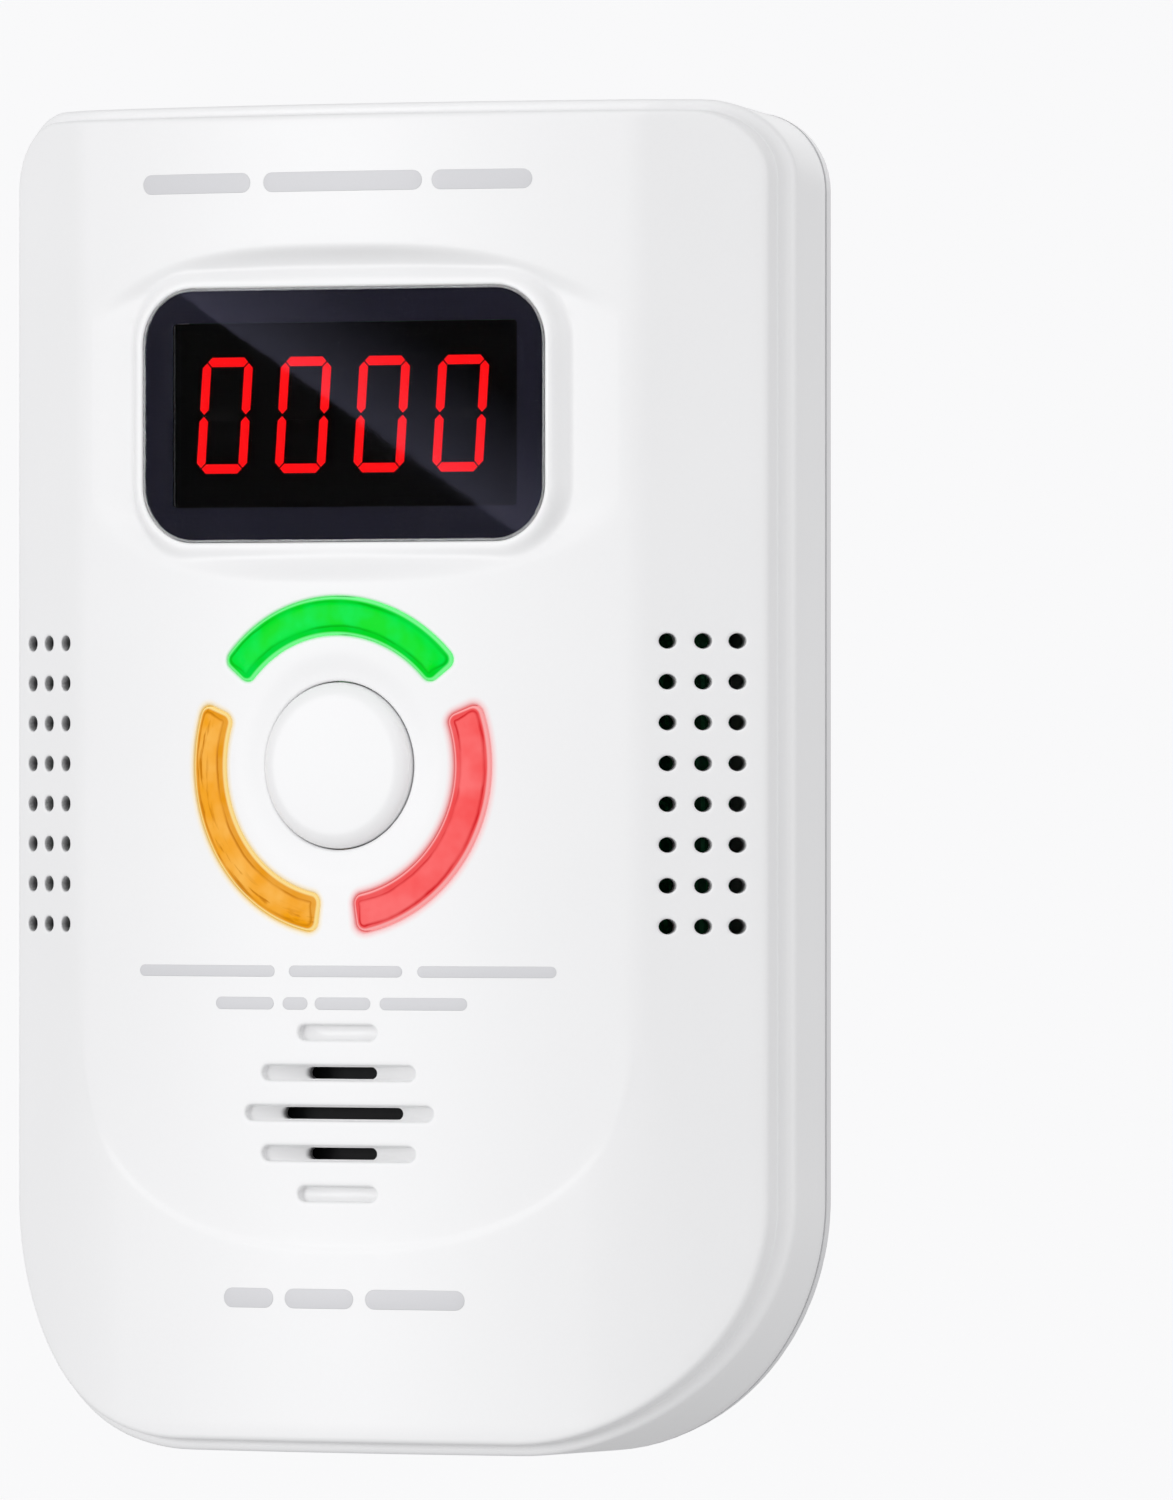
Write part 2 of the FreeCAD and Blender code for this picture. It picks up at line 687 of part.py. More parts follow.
def rectifier():
    """Moulded bridge rectifier."""
    return power_part(5.0, 31.5, 6.4, 5.0, 2.6)


def link_pins():
    """Pins that join the power board to the main board."""
    half = 0.32
    z = 44.5
    bars = [box(x - half, x + half, PCB_BACK, POWER_FRONT, z - half, z + half) for x in (-8.0, -5.5, -3.0)]
    return Part.makeCompound(bars)


# ---------------------------------------------------------------- rear cover, door and battery
LEDGE_HALF_W = 19.5
LEDGE_BOTTOM = -43.0
LEDGE_TOP = 15.5
SCOOP_R = 5.0


def rear_cover():
    """Back plate with the pod, the battery compartment and the opening for the plug."""
    rim = drafted(SIDE_SEAM, SIDE_BACK, PARTING_DEPTH, HOUSING_DEPTH)
    rim_edges = [e for e in rim.Edges if min(v.Y for v in e.Vertexes) > at(HOUSING_DEPTH) - 0.01]
    rim = rim.makeFillet(RIM_ROUND, rim_edges)
    tongue_out = (CAVITY[0] - 0.1, CAVITY[1] - 0.1, CAVITY[2] + 0.1, CAVITY[3], CAVITY[4])
    tongue_in = (CAVITY[0] - 1.4, CAVITY[1] - 1.4, CAVITY[2] + 1.4, CAVITY[3] - 1.2, CAVITY[4] - 1.2)
    tongue = rounded_prism(*tongue_out, 17.6, PARTING_DEPTH)
    tongue = tongue.cut(rounded_prism(*tongue_in, 17, PARTING_DEPTH + 1))
    pod = rounded_prism(POD_HALF_W, POD_TOP, POD_BOTTOM, POD_R, POD_R, PARTING_DEPTH, DEPTH)
    back_edges = [e for e in pod.Edges if min(v.Y for v in e.Vertexes) > -0.01]
    pod = pod.makeFillet(2.0, back_edges)
    seats = [disc(3.9, x, z, 18.0, HOUSING_DEPTH) for x, z in CASE_SCREWS]
    outer = joined([rim, tongue, pod] + seats)
    room = rounded_prism(
        POD_HALF_W - WALL, POD_TOP - WALL, POD_BOTTOM + WALL, POD_R - WALL, POD_R - WALL, 17, DEPTH - WALL
    )
    shell = outer.cut(room)
    side = WELL_HALF_W + 1.4
    well = box(-side, side, WELL_FLOOR - 1.0, DEPTH - WALL, WELL_BOTTOM - 1.6, WELL_TOP + 1.4)
    ledge = box(-LEDGE_HALF_W, LEDGE_HALF_W, 30.4, DEPTH - WALL, LEDGE_BOTTOM, LEDGE_TOP)
    shell = joined([shell, well, ledge])

    gap = DOOR_GAP
    door_in = DEPTH - DOOR_SINK - DOOR_T
    cutters = [
        box(-WELL_HALF_W, WELL_HALF_W, WELL_FLOOR, DEPTH + 1, WELL_BOTTOM, WELL_TOP),
        box(-DOOR_HALF_W - gap, DOOR_HALF_W + gap, door_in, DEPTH + 1, HINGE_Z - 1 - gap, DOOR_TOP + gap),
        hinge_bar(HINGE_R + 0.1, PIN_L + 0.2),
        disc(SCOOP_R, 0, DOOR_TOP + 1.5, DEPTH - 1.4, DEPTH + 1),
        plate(12.1, 7.1, 3.1, PLUG_Z, 31, DEPTH + 1),
        plate(23.1, 4.1, 1.1, LABEL_Z, DEPTH - LABEL_T, DEPTH + 1),
    ]
    for x, z in CASE_SCREWS:
        cutters.append(disc(3.0, x, z, 19.4, DEPTH))
        cutters.append(disc(1.4, x, z, 17, DEPTH))
    for x in CONTACT_X:
        cutters.append(box(x - 2.1, x + 2.1, WELL_FLOOR - 2, WELL_FLOOR + 1, WELL_TOP - 0.5, WELL_TOP))
    for side in (-1, 1):
        for i in range(6):
            z = 22.0 + 4.0 * i
            middle = side * POD_HALF_W
            cutters.append(box(middle - 3, middle + 3, 24.5, 30.5, z - 0.8, z + 0.8))
    return without(shell, cutters)


LABEL_Z = 42.6
LABEL_T = 0.15


def hinge_bar(radius, overhang):
    """Cylinder on the door's hinge axis, longer than the door by overhang at each end."""
    y = at(DEPTH - DOOR_SINK - DOOR_T / 2)
    half = DOOR_HALF_W + overhang
    return Part.makeCylinder(radius, 2 * half, V(-half, y, HINGE_Z), V(1, 0, 0))


def rating_label():
    """Blank label in its shallow recess above the plug."""
    return plate(23.0, 4.0, 1.0, LABEL_Z, DEPTH - LABEL_T, DEPTH)


def battery_door():
    """Door over the battery, with its two hinge pins, a finger scoop and ribs on the inside."""
    outside = DEPTH - DOOR_SINK
    inside = outside - DOOR_T
    leaf = box(-DOOR_HALF_W, DOOR_HALF_W, inside, outside, HINGE_Z, DOOR_TOP)
    rim = [e for e in leaf.Edges if min(v.Y for v in e.Vertexes) > at(outside) - 0.01]
    leaf = leaf.makeChamfer(DOOR_EDGE, [e for e in rim if e.BoundBox.ZMax > 0])
    barrel = hinge_bar(DOOR_T / 2, 0)
    pins = hinge_bar(HINGE_R, PIN_L)
    ribs = [box(x - 0.6, x + 0.6, inside - 0.5, inside + 0.5, -30, 2) for x in (-7.0, 0.0, 7.0)]
    door = joined([leaf, barrel, pins] + ribs)
    grips = [slot(6.0, 0.5, DOOR_TOP - 6 - 2.2 * i, outside - 0.5, DEPTH + 1) for i in range(4)]
    return without(door, grips + [disc(SCOOP_R, 0, DOOR_TOP + 1.5, outside - 1.0, DEPTH + 1)])


BATTERY_FOOT = WELL_BOTTOM + 0.2
BATTERY_HEAD = BATTERY_FOOT + BATTERY_L
CONTACT_X = (-6.35, 6.35)
STUD_L = 2.5


def battery_case():
    """Body of the nine volt block."""
    half = BATTERY_W / 2
    body = box(-half, half, WELL_FLOOR, WELL_FLOOR + BATTERY_T, BATTERY_FOOT, BATTERY_HEAD)
    long_edges = [e for e in body.Edges if abs(e.Vertexes[0].Z - e.Vertexes[1].Z) > 1]
    return body.makeFillet(2.0, long_edges)


def battery_terminals():
    """The small stud and the large one, on top of the block."""
    y = at(WELL_FLOOR + BATTERY_T / 2)
    up = V(0, 0, 1)
    studs = [Part.makeCylinder(r, STUD_L, V(x, y, BATTERY_HEAD), up) for x, r in zip(CONTACT_X, (2.8, 3.9))]
    return Part.makeCompound(studs)


def battery_contacts():
    """Two sprung leaves folded from strip: a pad on the terminal and a leg down to the main board."""
    leaves = []
    t = 0.4
    pad_z = BATTERY_HEAD + STUD_L
    middle = WELL_FLOOR + BATTERY_T / 2
    for x in CONTACT_X:
        pad = box(x - 3.5, x + 3.5, middle - 4, middle + 5, pad_z, pad_z + t)
        fold = box(x - 3.5, x + 3.5, middle + 5 - t, middle + 5, pad_z, WELL_TOP)
        leg = box(x - 2.0, x + 2.0, PCB_BACK, middle + 5, WELL_TOP - t, WELL_TOP)
        leaves.append(joined([pad, fold, leg]))
    return Part.makeCompound(leaves)


# ---------------------------------------------------------------- fasteners
def screw(x, z, head_r, head_d0, head_t, shank_r, tip_depth):
    """Pan-head screw driven from the back, with a cross recess."""
    head_d1 = head_d0 + head_t
    body = disc(head_r, x, z, head_d0, head_d1).fuse(disc(shank_r, x, z, tip_depth, head_d0))
    w = head_r * 0.16
    long = head_r * 0.55
    cross = [box(x - w, x + w, head_d1 - 0.9, head_d1 + 1, z - long, z + long)]
    cross.append(box(x - long, x + long, head_d1 - 0.9, head_d1 + 1, z - w, z + w))
    return without(body.removeSplitter(), cross)


def case_screws():
    """Four screws that hold the rear cover to the front cover's bosses."""
    return Part.makeCompound([screw(x, z, 2.7, 19.4, 1.8, 1.1, 10.6) for x, z in CASE_SCREWS])


def pcb_screws():
    """Four screws that hold the main board."""
    return Part.makeCompound([screw(x, z, 2.3, PCB_BACK, 1.5, 1.0, 8.0) for x, z in PCB_SCREWS])


# ---------------------------------------------------------------- all parts
def main():
    os.makedirs("parts", exist_ok=True)
    save("front_cover", front_cover())
    save("rear_cover", rear_cover())
    save("battery_door", battery_door())
    save("display_lens", display_lens())
    save("window_mask", window_mask())
    save("led_module", led_module())
    save("lit_segments", digits(False))
    save("unlit_segments", digits(True))
    for colour, middle in RING_ANGLES.items():
        save(colour + "_light_pipe", light_pipe(middle))
        save(colour + "_leds", ring_leds(middle))
    save("light_baffle", light_baffle())
    save("test_button", test_button())
    save("switch_plunger", switch_plunger())
    save("tact_switch", tact_switch())
    save("main_pcb", main_pcb())
    save("microcontroller", microcontroller())
    save("driver_chips", driver_chips())
    save("crystal", crystal())
    save("board_resistors", board_resistors())
    save("board_capacitors", board_capacitors())
    save("co_sensor_can", co_sensor_can())
    save("co_sensor_cap", co_sensor_cap())
    save("co_sensor_pins", co_sensor_pins())
    save("buzzer_housing", buzzer_housing())
    save("piezo_plate", piezo_plate())
    save("piezo_ceramic", piezo_ceramic())
    save("plug_block", plug_block())
    save("blade_left", blade(-1))
    save("blade_right", blade(1))
    save("power_board", power_board())
    save("transformer_core", transformer_core())
    save("transformer_coil", transformer_coil())
    save("filter_capacitor", filter_capacitor())
    save("film_capacitor", film_capacitor())
    save("fuse", fuse())
    save("varistor", varistor())
    save("rectifier", rectifier())
    save("link_pins", link_pins())
    save("rating_label", rating_label())
    save("battery_case", battery_case())
    save("battery_terminals", battery_terminals())
    save("battery_contacts", battery_contacts())
    save("case_screws", case_screws())
    save("pcb_screws", pcb_screws())


main()
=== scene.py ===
import json
import math

import bmesh
import bpy
import numpy as np
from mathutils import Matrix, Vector
from mathutils.geometry import delaunay_2d_cdt


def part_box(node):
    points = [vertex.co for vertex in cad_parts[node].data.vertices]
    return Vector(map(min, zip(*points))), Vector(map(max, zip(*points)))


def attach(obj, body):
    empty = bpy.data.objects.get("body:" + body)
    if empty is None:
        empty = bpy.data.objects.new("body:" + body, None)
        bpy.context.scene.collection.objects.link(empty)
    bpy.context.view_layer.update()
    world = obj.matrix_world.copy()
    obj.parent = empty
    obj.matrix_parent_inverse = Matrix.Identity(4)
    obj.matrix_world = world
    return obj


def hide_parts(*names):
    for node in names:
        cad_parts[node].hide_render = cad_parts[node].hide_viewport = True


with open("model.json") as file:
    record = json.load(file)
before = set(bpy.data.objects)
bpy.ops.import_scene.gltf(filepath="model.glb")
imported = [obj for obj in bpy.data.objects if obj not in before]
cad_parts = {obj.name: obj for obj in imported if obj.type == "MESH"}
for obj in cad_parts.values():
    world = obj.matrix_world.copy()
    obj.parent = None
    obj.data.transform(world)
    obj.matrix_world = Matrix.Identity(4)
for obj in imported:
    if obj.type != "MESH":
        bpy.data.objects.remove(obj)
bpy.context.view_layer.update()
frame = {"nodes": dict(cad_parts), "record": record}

# Plug-in carbon monoxide detector. Shapes are worked out in millimetres, as (x, depth, z) with the depth
# measured back from the foremost line of the front panel, and turned into the frame's metres at the end.
MM = 0.001

# ---------------------------------------------------------------- places taken from the frame
cover_lo, cover_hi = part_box("front_cover")
lens_lo, lens_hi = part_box("display_lens")
button_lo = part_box("test_button")[0]
plunger_lo, plunger_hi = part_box("switch_plunger")
mask_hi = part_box("window_mask")[1]
screen_lo, screen_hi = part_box("led_module")

FRONT_Y = cover_lo.y / MM
SEAM = (cover_hi.y - cover_lo.y) / MM
HALF_W = cover_hi.x / MM
TOP_Z = cover_hi.z / MM
BOTTOM_Z = cover_lo.z / MM
WINDOW_HALF_W = lens_hi.x / MM
WINDOW_HALF_H = (lens_hi.z - lens_lo.z) / 2 / MM
DISPLAY_Z = (lens_hi.z + lens_lo.z) / 2 / MM
WINDOW_DEPTH = lens_lo.y / MM - FRONT_Y
SCREEN_HALF_W = screen_hi.x / MM
SCREEN_HALF_H = (screen_hi.z - screen_lo.z) / 2 / MM
LEDGE_DEPTH = mask_hi.y / MM - FRONT_Y + 0.05  # ledge that the window rests on
RING_Z = (plunger_lo.z + plunger_hi.z) / 2 / MM
BUTTON_TOP = button_lo.y / MM - FRONT_Y

# ---------------------------------------------------------------- shape of the front, in millimetres
LIP = 1.1  # width of the lip round the raised face, at the top and bottom
SIDE_LIP = 1.45  # and at the sides
FACE_HALF_W = HALF_W - SIDE_LIP
FACE_TOP = TOP_Z - LIP
FACE_BOTTOM = BOTTOM_Z + LIP
FACE_R_TOP = 6.5
FACE_R_BOTTOM = 23.0
FACE_STEP = 2.0  # height of the face above the lip
COVE = 0.3  # round corner at the foot of that step
FACE_ROUND = 0.5
LIP_ROUND = 0.6
LIP_R_TOP = 7.8
LIP_R_BOTTOM = 24.6
SEAM_GAP = 0.08
SKIN = 2.4

CROWN_HALF = 30.6
CROWN_SAG = 3.8
CROWN_R = (CROWN_HALF**2 + CROWN_SAG**2) / (2 * CROWN_SAG)
WING_SLOPE = math.tan(math.radians(31.6))
END_PROUD = 0.12  # how far the face beyond the panel's rounded end stands in front of the panel
PANEL_STRAIGHT_Z = -23.3
PANEL_DROP = 22.0
PANEL_POWER = 2.4

EYE_HALF_W = 29.0
EYE_HALF_H = 16.4
EYE_TAPER = 5.7
EYE_DEPTH = 1.5
EYE_WALL_TOP = 2.2
EYE_WALL_BOTTOM = 3.6
WINDOW_R = 5.6
WINDOW_RIM = 0.6
SEAT_BACK = 5.0  # depth of the thicker wall behind the window
PANE_LAP = 0.12  # how far the cover overlaps the edge of the pane
PANE_ROUND = 0.08
SCREEN_GAP = 0.3
SCREEN_R = 0.4

RING_IN = 12.55
RING_OUT = 16.3
RING_SPAN = 104.0
RING_ANGLES = {"green": 90.0, "amber": 210.0, "red": -30.0}
RING_CORNER = 1.0
DISH_R = 11.6  # shallow dish between the arcs and the button
DISH_DEPTH = 0.3
BUTTON_HOLE_R = 8.12
BUTTON_R = 8.0
FLANGE_R = 9.3  # the button's flange, behind the front wall
FLANGE_FRONT = 3.45
STEM_BACK = 4.35

SLOT_Z = -24.5
SLOT_PITCH = 3.88
GROOVE_HALF_L = (4.3, 8.4, 10.3, 8.4, 4.3)
GROOVE_HALF_H = 0.74
GROOVE_DEPTH = 0.8
SLOT_HALF_L = (0.0, 4.0, 6.8, 4.0, 0.0)
SLOT_HALF_H = 0.58

VENT_R = 0.75
VENT_Z = 13.1
VENT_PITCH = 3.9
VENT_ROWS = 8
VENT_X = (33.1, 36.0, 38.8)
VENT_LEAN = 1.2  # the right wing's holes run this far towards the middle through the wall

HOLE_ROUND = 0.25
HOLE_BAND = 0.55


# ---------------------------------------------------------------- front surface, as a depth over (x, z)
def ramp(t):
    """Smooth step from 0 to 1."""
    t = np.clip(t, 0.0, 1.0)
    return t * t * (3 - 2 * t)


def smooth_max(a, b, k):
    h = np.maximum(k - np.abs(a - b), 0.0) / k
    return np.maximum(a, b) + h * h * k / 4


def crown(x):
    return CROWN_R - np.sqrt(CROWN_R**2 - np.clip(np.abs(x), 0, 60.0) ** 2)


def outside_panel(x, z):
    """Distance outside the crease of the centre panel, negative inside it."""
    ax = np.abs(x)
    below = np.maximum(PANEL_STRAIGHT_Z - z, 0.0)
    n = PANEL_POWER
    size = ((ax / CROWN_HALF) ** n + (below / PANEL_DROP) ** n) ** (1 / n)
    reach = np.hypot(ax, below)
    around = reach * (size - 1) / np.maximum(size, 1e-3)
    return np.where(z >= PANEL_STRAIGHT_Z, ax - CROWN_HALF, around)


def eye(x, z):
    """How far the shallow recess round the window lies below the crown."""
    t = np.clip(np.abs(x) / EYE_HALF_W, 0, 1)
    half = EYE_HALF_H - EYE_TAPER * t**3
    depth = EYE_DEPTH * (1 - t * t)
    wall = np.where(z > DISPLAY_Z, EYE_WALL_TOP, EYE_WALL_BOTTOM)
    return depth * ramp((half - np.abs(z - DISPLAY_Z)) / wall)


def outside_box(x, z, half_w, half_h, radius):
    qx = np.abs(x) - half_w + radius
    qz = np.abs(z) - half_h + radius
    corner = np.hypot(np.maximum(qx, 0), np.maximum(qz, 0))
    return corner + np.minimum(np.maximum(qx, qz), 0) - radius


def base_depth(x, z):
    """The crowned panel, the wings, and the softer surface below the panel's rounded end."""
    below = ramp((PANEL_STRAIGHT_Z + 2 - z) / PANEL_DROP)
    wing = CROWN_SAG + (np.abs(x) - CROWN_HALF) * WING_SLOPE
    outer = smooth_max(crown(x) - END_PROUD * below, wing, 0.4 + 1.6 * below)
    inner = smooth_max(crown(x), wing, 0.4)
    edge = outside_panel(x, z)
    return inner + (outer - inner) * ramp((edge + 0.4) / 0.8)


def depth_at(x, z):
    """Depth of the front surface, without the rounding at the edge of each hole."""
    rim = WINDOW_RIM
    pad = outside_box(x, z - DISPLAY_Z, WINDOW_HALF_W + rim, WINDOW_HALF_H + rim, WINDOW_R + rim)
    floor = base_depth(x, z) + eye(x, z)
    on_pad = 1 - ramp((pad + 0.1) / 1.5)
    surface = floor + (WINDOW_DEPTH - 0.12 - floor) * on_pad
    r = np.hypot(x, z - RING_Z)
    return surface + DISH_DEPTH * ramp((DISH_R - r) / (DISH_R - BUTTON_HOLE_R)) ** 1.2


# ---------------------------------------------------------------- outlines, as (x, z) points in order
def box_loop(half_w, top, bottom, r_top, r_bottom, across=60, along=90, corner_top=16, corner_bottom=40):
    """Rounded outline. Two outlines with the same counts match point for point."""
    points = []

    def arc(cx, cz, radius, start, steps):
        for i in range(steps):
            a = math.radians(start - 90.0 * i / steps)
            points.append((cx + radius * math.cos(a), cz + radius * math.sin(a)))

    def line(x0, z0, x1, z1, steps):
        for i in range(steps):
            points.append((x0 + (x1 - x0) * i / steps, z0 + (z1 - z0) * i / steps))

    arc(half_w - r_top, top - r_top, r_top, 90, corner_top)
    line(half_w, top - r_top, half_w, bottom + r_bottom, along)
    arc(half_w - r_bottom, bottom + r_bottom, r_bottom, 0, corner_bottom)
    line(half_w - r_bottom, bottom, r_bottom - half_w, bottom, across)
    arc(r_bottom - half_w, bottom + r_bottom, r_bottom, -90, corner_bottom)
    line(-half_w, bottom + r_bottom, -half_w, top - r_top, along)
    arc(r_top - half_w, top - r_top, r_top, 180, corner_top)
    line(r_top - half_w, top, half_w - r_top, top, across)
    return np.array(points)


def window_loop(grow, half_w=None, half_h=None, radius=None):
    half_w = (half_w or WINDOW_HALF_W) + grow
    half_h = (half_h or WINDOW_HALF_H) + grow
    radius = max((radius or WINDOW_R) + grow, 0.05)
    return box_loop(half_w, DISPLAY_Z + half_h, DISPLAY_Z - half_h, radius, radius, 44, 24, 14, 14)


def circle_loop(x, z, radius, steps):
    a = -2 * math.pi * np.arange(steps) / steps
    return np.stack([x + radius * np.cos(a), z + radius * np.sin(a)], 1)


def bar_loop(x, z, half_l, half_h, turn=10, along=12):
    """Bar along x with round ends."""
    c = half_l - half_h
    a = np.radians(90 - 180 * np.arange(turn) / turn)
    right = np.stack([c + half_h * np.cos(a), half_h * np.sin(a)], 1)
    step = c - 2 * c * np.arange(along) / along
    bottom = np.stack([step, np.full(along, -half_h)], 1)
    return np.concatenate([right, bottom, -right, -bottom]) + (x, z)


def sector_loop(middle, grow, r_in=RING_IN, r_out=RING_OUT, span=RING_SPAN):
    """Piece of a ring with small round corners, set out on a straightened ring and bent round."""
    mid = (r_in + r_out) / 2
    half_l = math.radians(span / 2) * mid + grow
    half_h = (r_out - r_in) / 2 + grow
    corner = max(RING_CORNER + grow, 0.05)
    flat = box_loop(half_l, half_h, -half_h, corner, corner, 46, 8, 5, 5)
    a = math.radians(middle) - flat[:, 0] / mid
    r = mid + flat[:, 1]
    return np.stack([r * np.cos(a), RING_Z + r * np.sin(a)], 1)


def outside_sector(x, z, middle, r_in=RING_IN, r_out=RING_OUT, span=RING_SPAN):
    mid = (r_in + r_out) / 2
    a = np.arctan2(z - RING_Z, x) - math.radians(middle)
    a = (a + math.pi) % (2 * math.pi) - math.pi
    r = np.hypot(x, z - RING_Z)
    return outside_box(a * mid, r - mid, math.radians(span / 2) * mid, (r_out - r_in) / 2, RING_CORNER)


def outwards(loop):
    """Unit normals of an outline that runs clockwise, pointing out of it."""
    tangent = np.roll(loop, -1, 0) - np.roll(loop, 1, 0)
    normal = np.stack([-tangent[:, 1], tangent[:, 0]], 1)
    return normal / np.linalg.norm(normal, axis=1, keepdims=True)


def within(points, loop):
    """Which points lie inside a closed outline."""
    lo, hi = loop.min(0), loop.max(0)
    near = np.all((points >= lo) & (points <= hi), axis=1)
    x, z = points[near, 0], points[near, 1]
    odd = np.zeros(len(x), bool)
    for (x0, z0), (x1, z1) in zip(loop, np.roll(loop, -1, 0)):
        if z0 == z1:
            continue
        crosses = (z0 > z) != (z1 > z)
        odd ^= crosses & (x < (x1 - x0) * (z - z0) / (z1 - z0) + x0)
    out = np.zeros(len(points), bool)
    out[near] = odd
    return out


# ---------------------------------------------------------------- building meshes
class Skin:
    """Vertices as (x, depth, z) in millimetres and faces, joined ring by ring."""

    def __init__(self):
        self.points = []
        self.faces = []

    def ring(self, loop, depth):
        start = len(self.points)
        depth = np.broadcast_to(depth, (len(loop),))
        self.points += [(p[0], d, p[1]) for p, d in zip(loop, depth)]
        return list(range(start, len(self.points)))

    def bridge(self, a, b):
        n = len(a)
        for i in range(n):
            j = (i + 1) % n
            self.faces.append((a[i], a[j], b[j], b[i]))

    def rings(self, first, steps):
        """Bridges from ring first through each (loop, depth) in turn, and returns the last ring."""
        for loop, depth in steps:
            new = self.ring(loop, depth)
            self.bridge(first, new)
            first = new
        return first

    def fill(self, rings, spare=(), depth=None):
        """Triangles inside the first ring and outside the others, through spare points."""
        flat, edges = [], []
        for ring in rings:
            n = len(flat)
            flat += [(self.points[i][0], self.points[i][2]) for i in ring]
            edges += [(n + i, n + (i + 1) % len(ring)) for i in range(len(ring))]
        index = [i for ring in rings for i in ring]
        if len(spare):
            index += self.ring(spare, depth(spare[:, 0], spare[:, 1]))
            flat += [tuple(p) for p in spare]
        out, _, faces, _, _, _ = delaunay_2d_cdt([Vector(p) for p in flat], edges, [], 0, 1e-7, False)
        if len(out) != len(flat):
            raise ValueError("outlines cross: %d points became %d" % (len(flat), len(out)))
        xy = np.array(flat)
        tri = np.array(faces)
        centre = xy[tri].mean(1)
        loops = [np.array([(self.points[i][0], self.points[i][2]) for i in ring]) for ring in rings]
        keep = within(centre, loops[0])
        for loop in loops[1:]:
            keep &= ~within(centre, loop)
        for t in tri[keep]:
            self.faces.append(tuple(index[i] for i in t))

    def piece(self, name, body, material, replaces=()):
        co = np.array(self.points, float)
        co = np.stack([co[:, 0], co[:, 1] + FRONT_Y, co[:, 2]], 1) * MM
        mesh = bpy.data.meshes.new(name)
        mesh.from_pydata(co.tolist(), [], self.faces)
        return finish_piece(mesh, name, body, material, replaces)


def finish_piece(mesh, name, body, material, replaces=()):
    bm = bmesh.new()
    bm.from_mesh(mesh)
    bmesh.ops.recalc_face_normals(bm, faces=bm.faces)
    bm.to_mesh(mesh)
    bm.free()
    mesh.shade_smooth()
    mesh.materials.append(material)
    ob = bpy.data.objects.new(name, mesh)
    bpy.context.scene.collection.objects.link(ob)
    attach(ob, body)
    if replaces:
        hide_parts(*replaces)
    return ob


def rounding(radius, steps=4):
    """(distance in from the edge, drop of the surface) down a quarter round, ending at the edge."""
    out = []
    for i in range(steps + 1):
        a = math.pi / 2 * i / steps
        out.append((radius * (1 - math.sin(a)), radius * (1 - math.cos(a))))
    return out


def hexagons(half_w, z0, z1, pitch):
    """Points of a hexagonal grid over a box."""
    rows = np.arange(z0, z1, pitch * math.sqrt(0.75))
    cols = np.arange(-half_w, half_w + pitch, pitch)
    grid = []
    for i, z in enumerate(rows):
        grid.append(np.stack([cols + (pitch / 2 if i % 2 else 0.0), np.full(len(cols), z)], 1))
    return np.concatenate(grid)


# ---------------------------------------------------------------- materials
def principled(m):
    return m.node_tree.nodes["Principled BSDF"]


def node(m, kind, inputs=(), **values):
    """A new node with its settings, and its inputs set or linked by name or number."""
    n = m.node_tree.nodes.new(kind)
    for key, value in values.items():
        setattr(n, key, value)
    for key, value in dict(inputs).items():
        if isinstance(value, bpy.types.NodeSocket):
            m.node_tree.links.new(value, n.inputs[key])
        else:
            n.inputs[key].default_value = value
    return n


def maths(m, operation, *values):
    return node(m, "ShaderNodeMath", enumerate(values), operation=operation).outputs[0]


def feed(m, socket, key):
    m.node_tree.links.new(socket, principled(m).inputs[key])


def spread(m, value, low, high, to_low, to_high):
    """Maps low..high to to_low..to_high, held at both ends."""
    return node(m, "ShaderNodeMapRange", enumerate((value, low, high, to_low, to_high))).outputs[0]


def mix(m, factor, a, b):
    """Colour a turning to colour b. Each is three numbers or a socket."""
    rgba = [v if isinstance(v, bpy.types.NodeSocket) else (*v, 1) for v in (a, b)]
    n = node(m, "ShaderNodeMix", data_type="RGBA", blend_type="MIX")
    for socket, value in zip((n.inputs[0], n.inputs[6], n.inputs[7]), (factor, *rgba)):
        if isinstance(value, bpy.types.NodeSocket):
            m.node_tree.links.new(value, socket)
        else:
            socket.default_value = value
    return n.outputs[2]


def place(m, scale=(1, 1, 1)):
    """Object coordinates in millimetres, squeezed by scale."""
    where = node(m, "ShaderNodeTexCoord").outputs["Object"]
    factor = [s / MM for s in scale]
    return node(m, "ShaderNodeVectorMath", {0: where, 1: factor}, operation="MULTIPLY").outputs[0]


def noise(m, where, size, detail=3.0):
    """Noise from 0 to 1 with features of about that size in millimetres."""
    inputs = {"Vector": where, "Scale": 1 / size, "Detail": detail}
    return node(m, "ShaderNodeTexNoise", inputs).outputs["Fac"]


def surface(name, colour, rough, tint=0.03, patch=22.0, grain=0.35, height=0.003, stretch=(1, 1, 1),
            **sockets):
    """Material with slow changes of tone and roughness in patches, and a fine grain in its relief.
    Lengths are in millimetres. A stretch below 1 draws the grain out along that axis."""
    m = bpy.data.materials.new(name)
    m.use_nodes = True
    for key, value in sockets.items():
        principled(m).inputs[key.replace("_", " ")].default_value = value
    slow = noise(m, place(m), patch)
    fine = noise(m, place(m, stretch), grain)
    both = maths(m, "MULTIPLY_ADD", fine, 0.35, maths(m, "MULTIPLY", slow, 0.65))
    feed(m, spread(m, both, 0.3, 0.7, *rough), "Roughness")
    dark = [c * (1 - tint) for c in colour]
    feed(m, mix(m, spread(m, both, 0.35, 0.65, 0, 1), dark, colour), "Base Color")
    relief = node(m, "ShaderNodeBump", {"Strength": 1.0, "Distance": height * MM, "Height": fine})
    feed(m, relief.outputs["Normal"], "Normal")
    return m


def base_of(m):
    """The socket or colour that now feeds the base colour."""
    return principled(m).inputs["Base Color"].links[0].from_socket


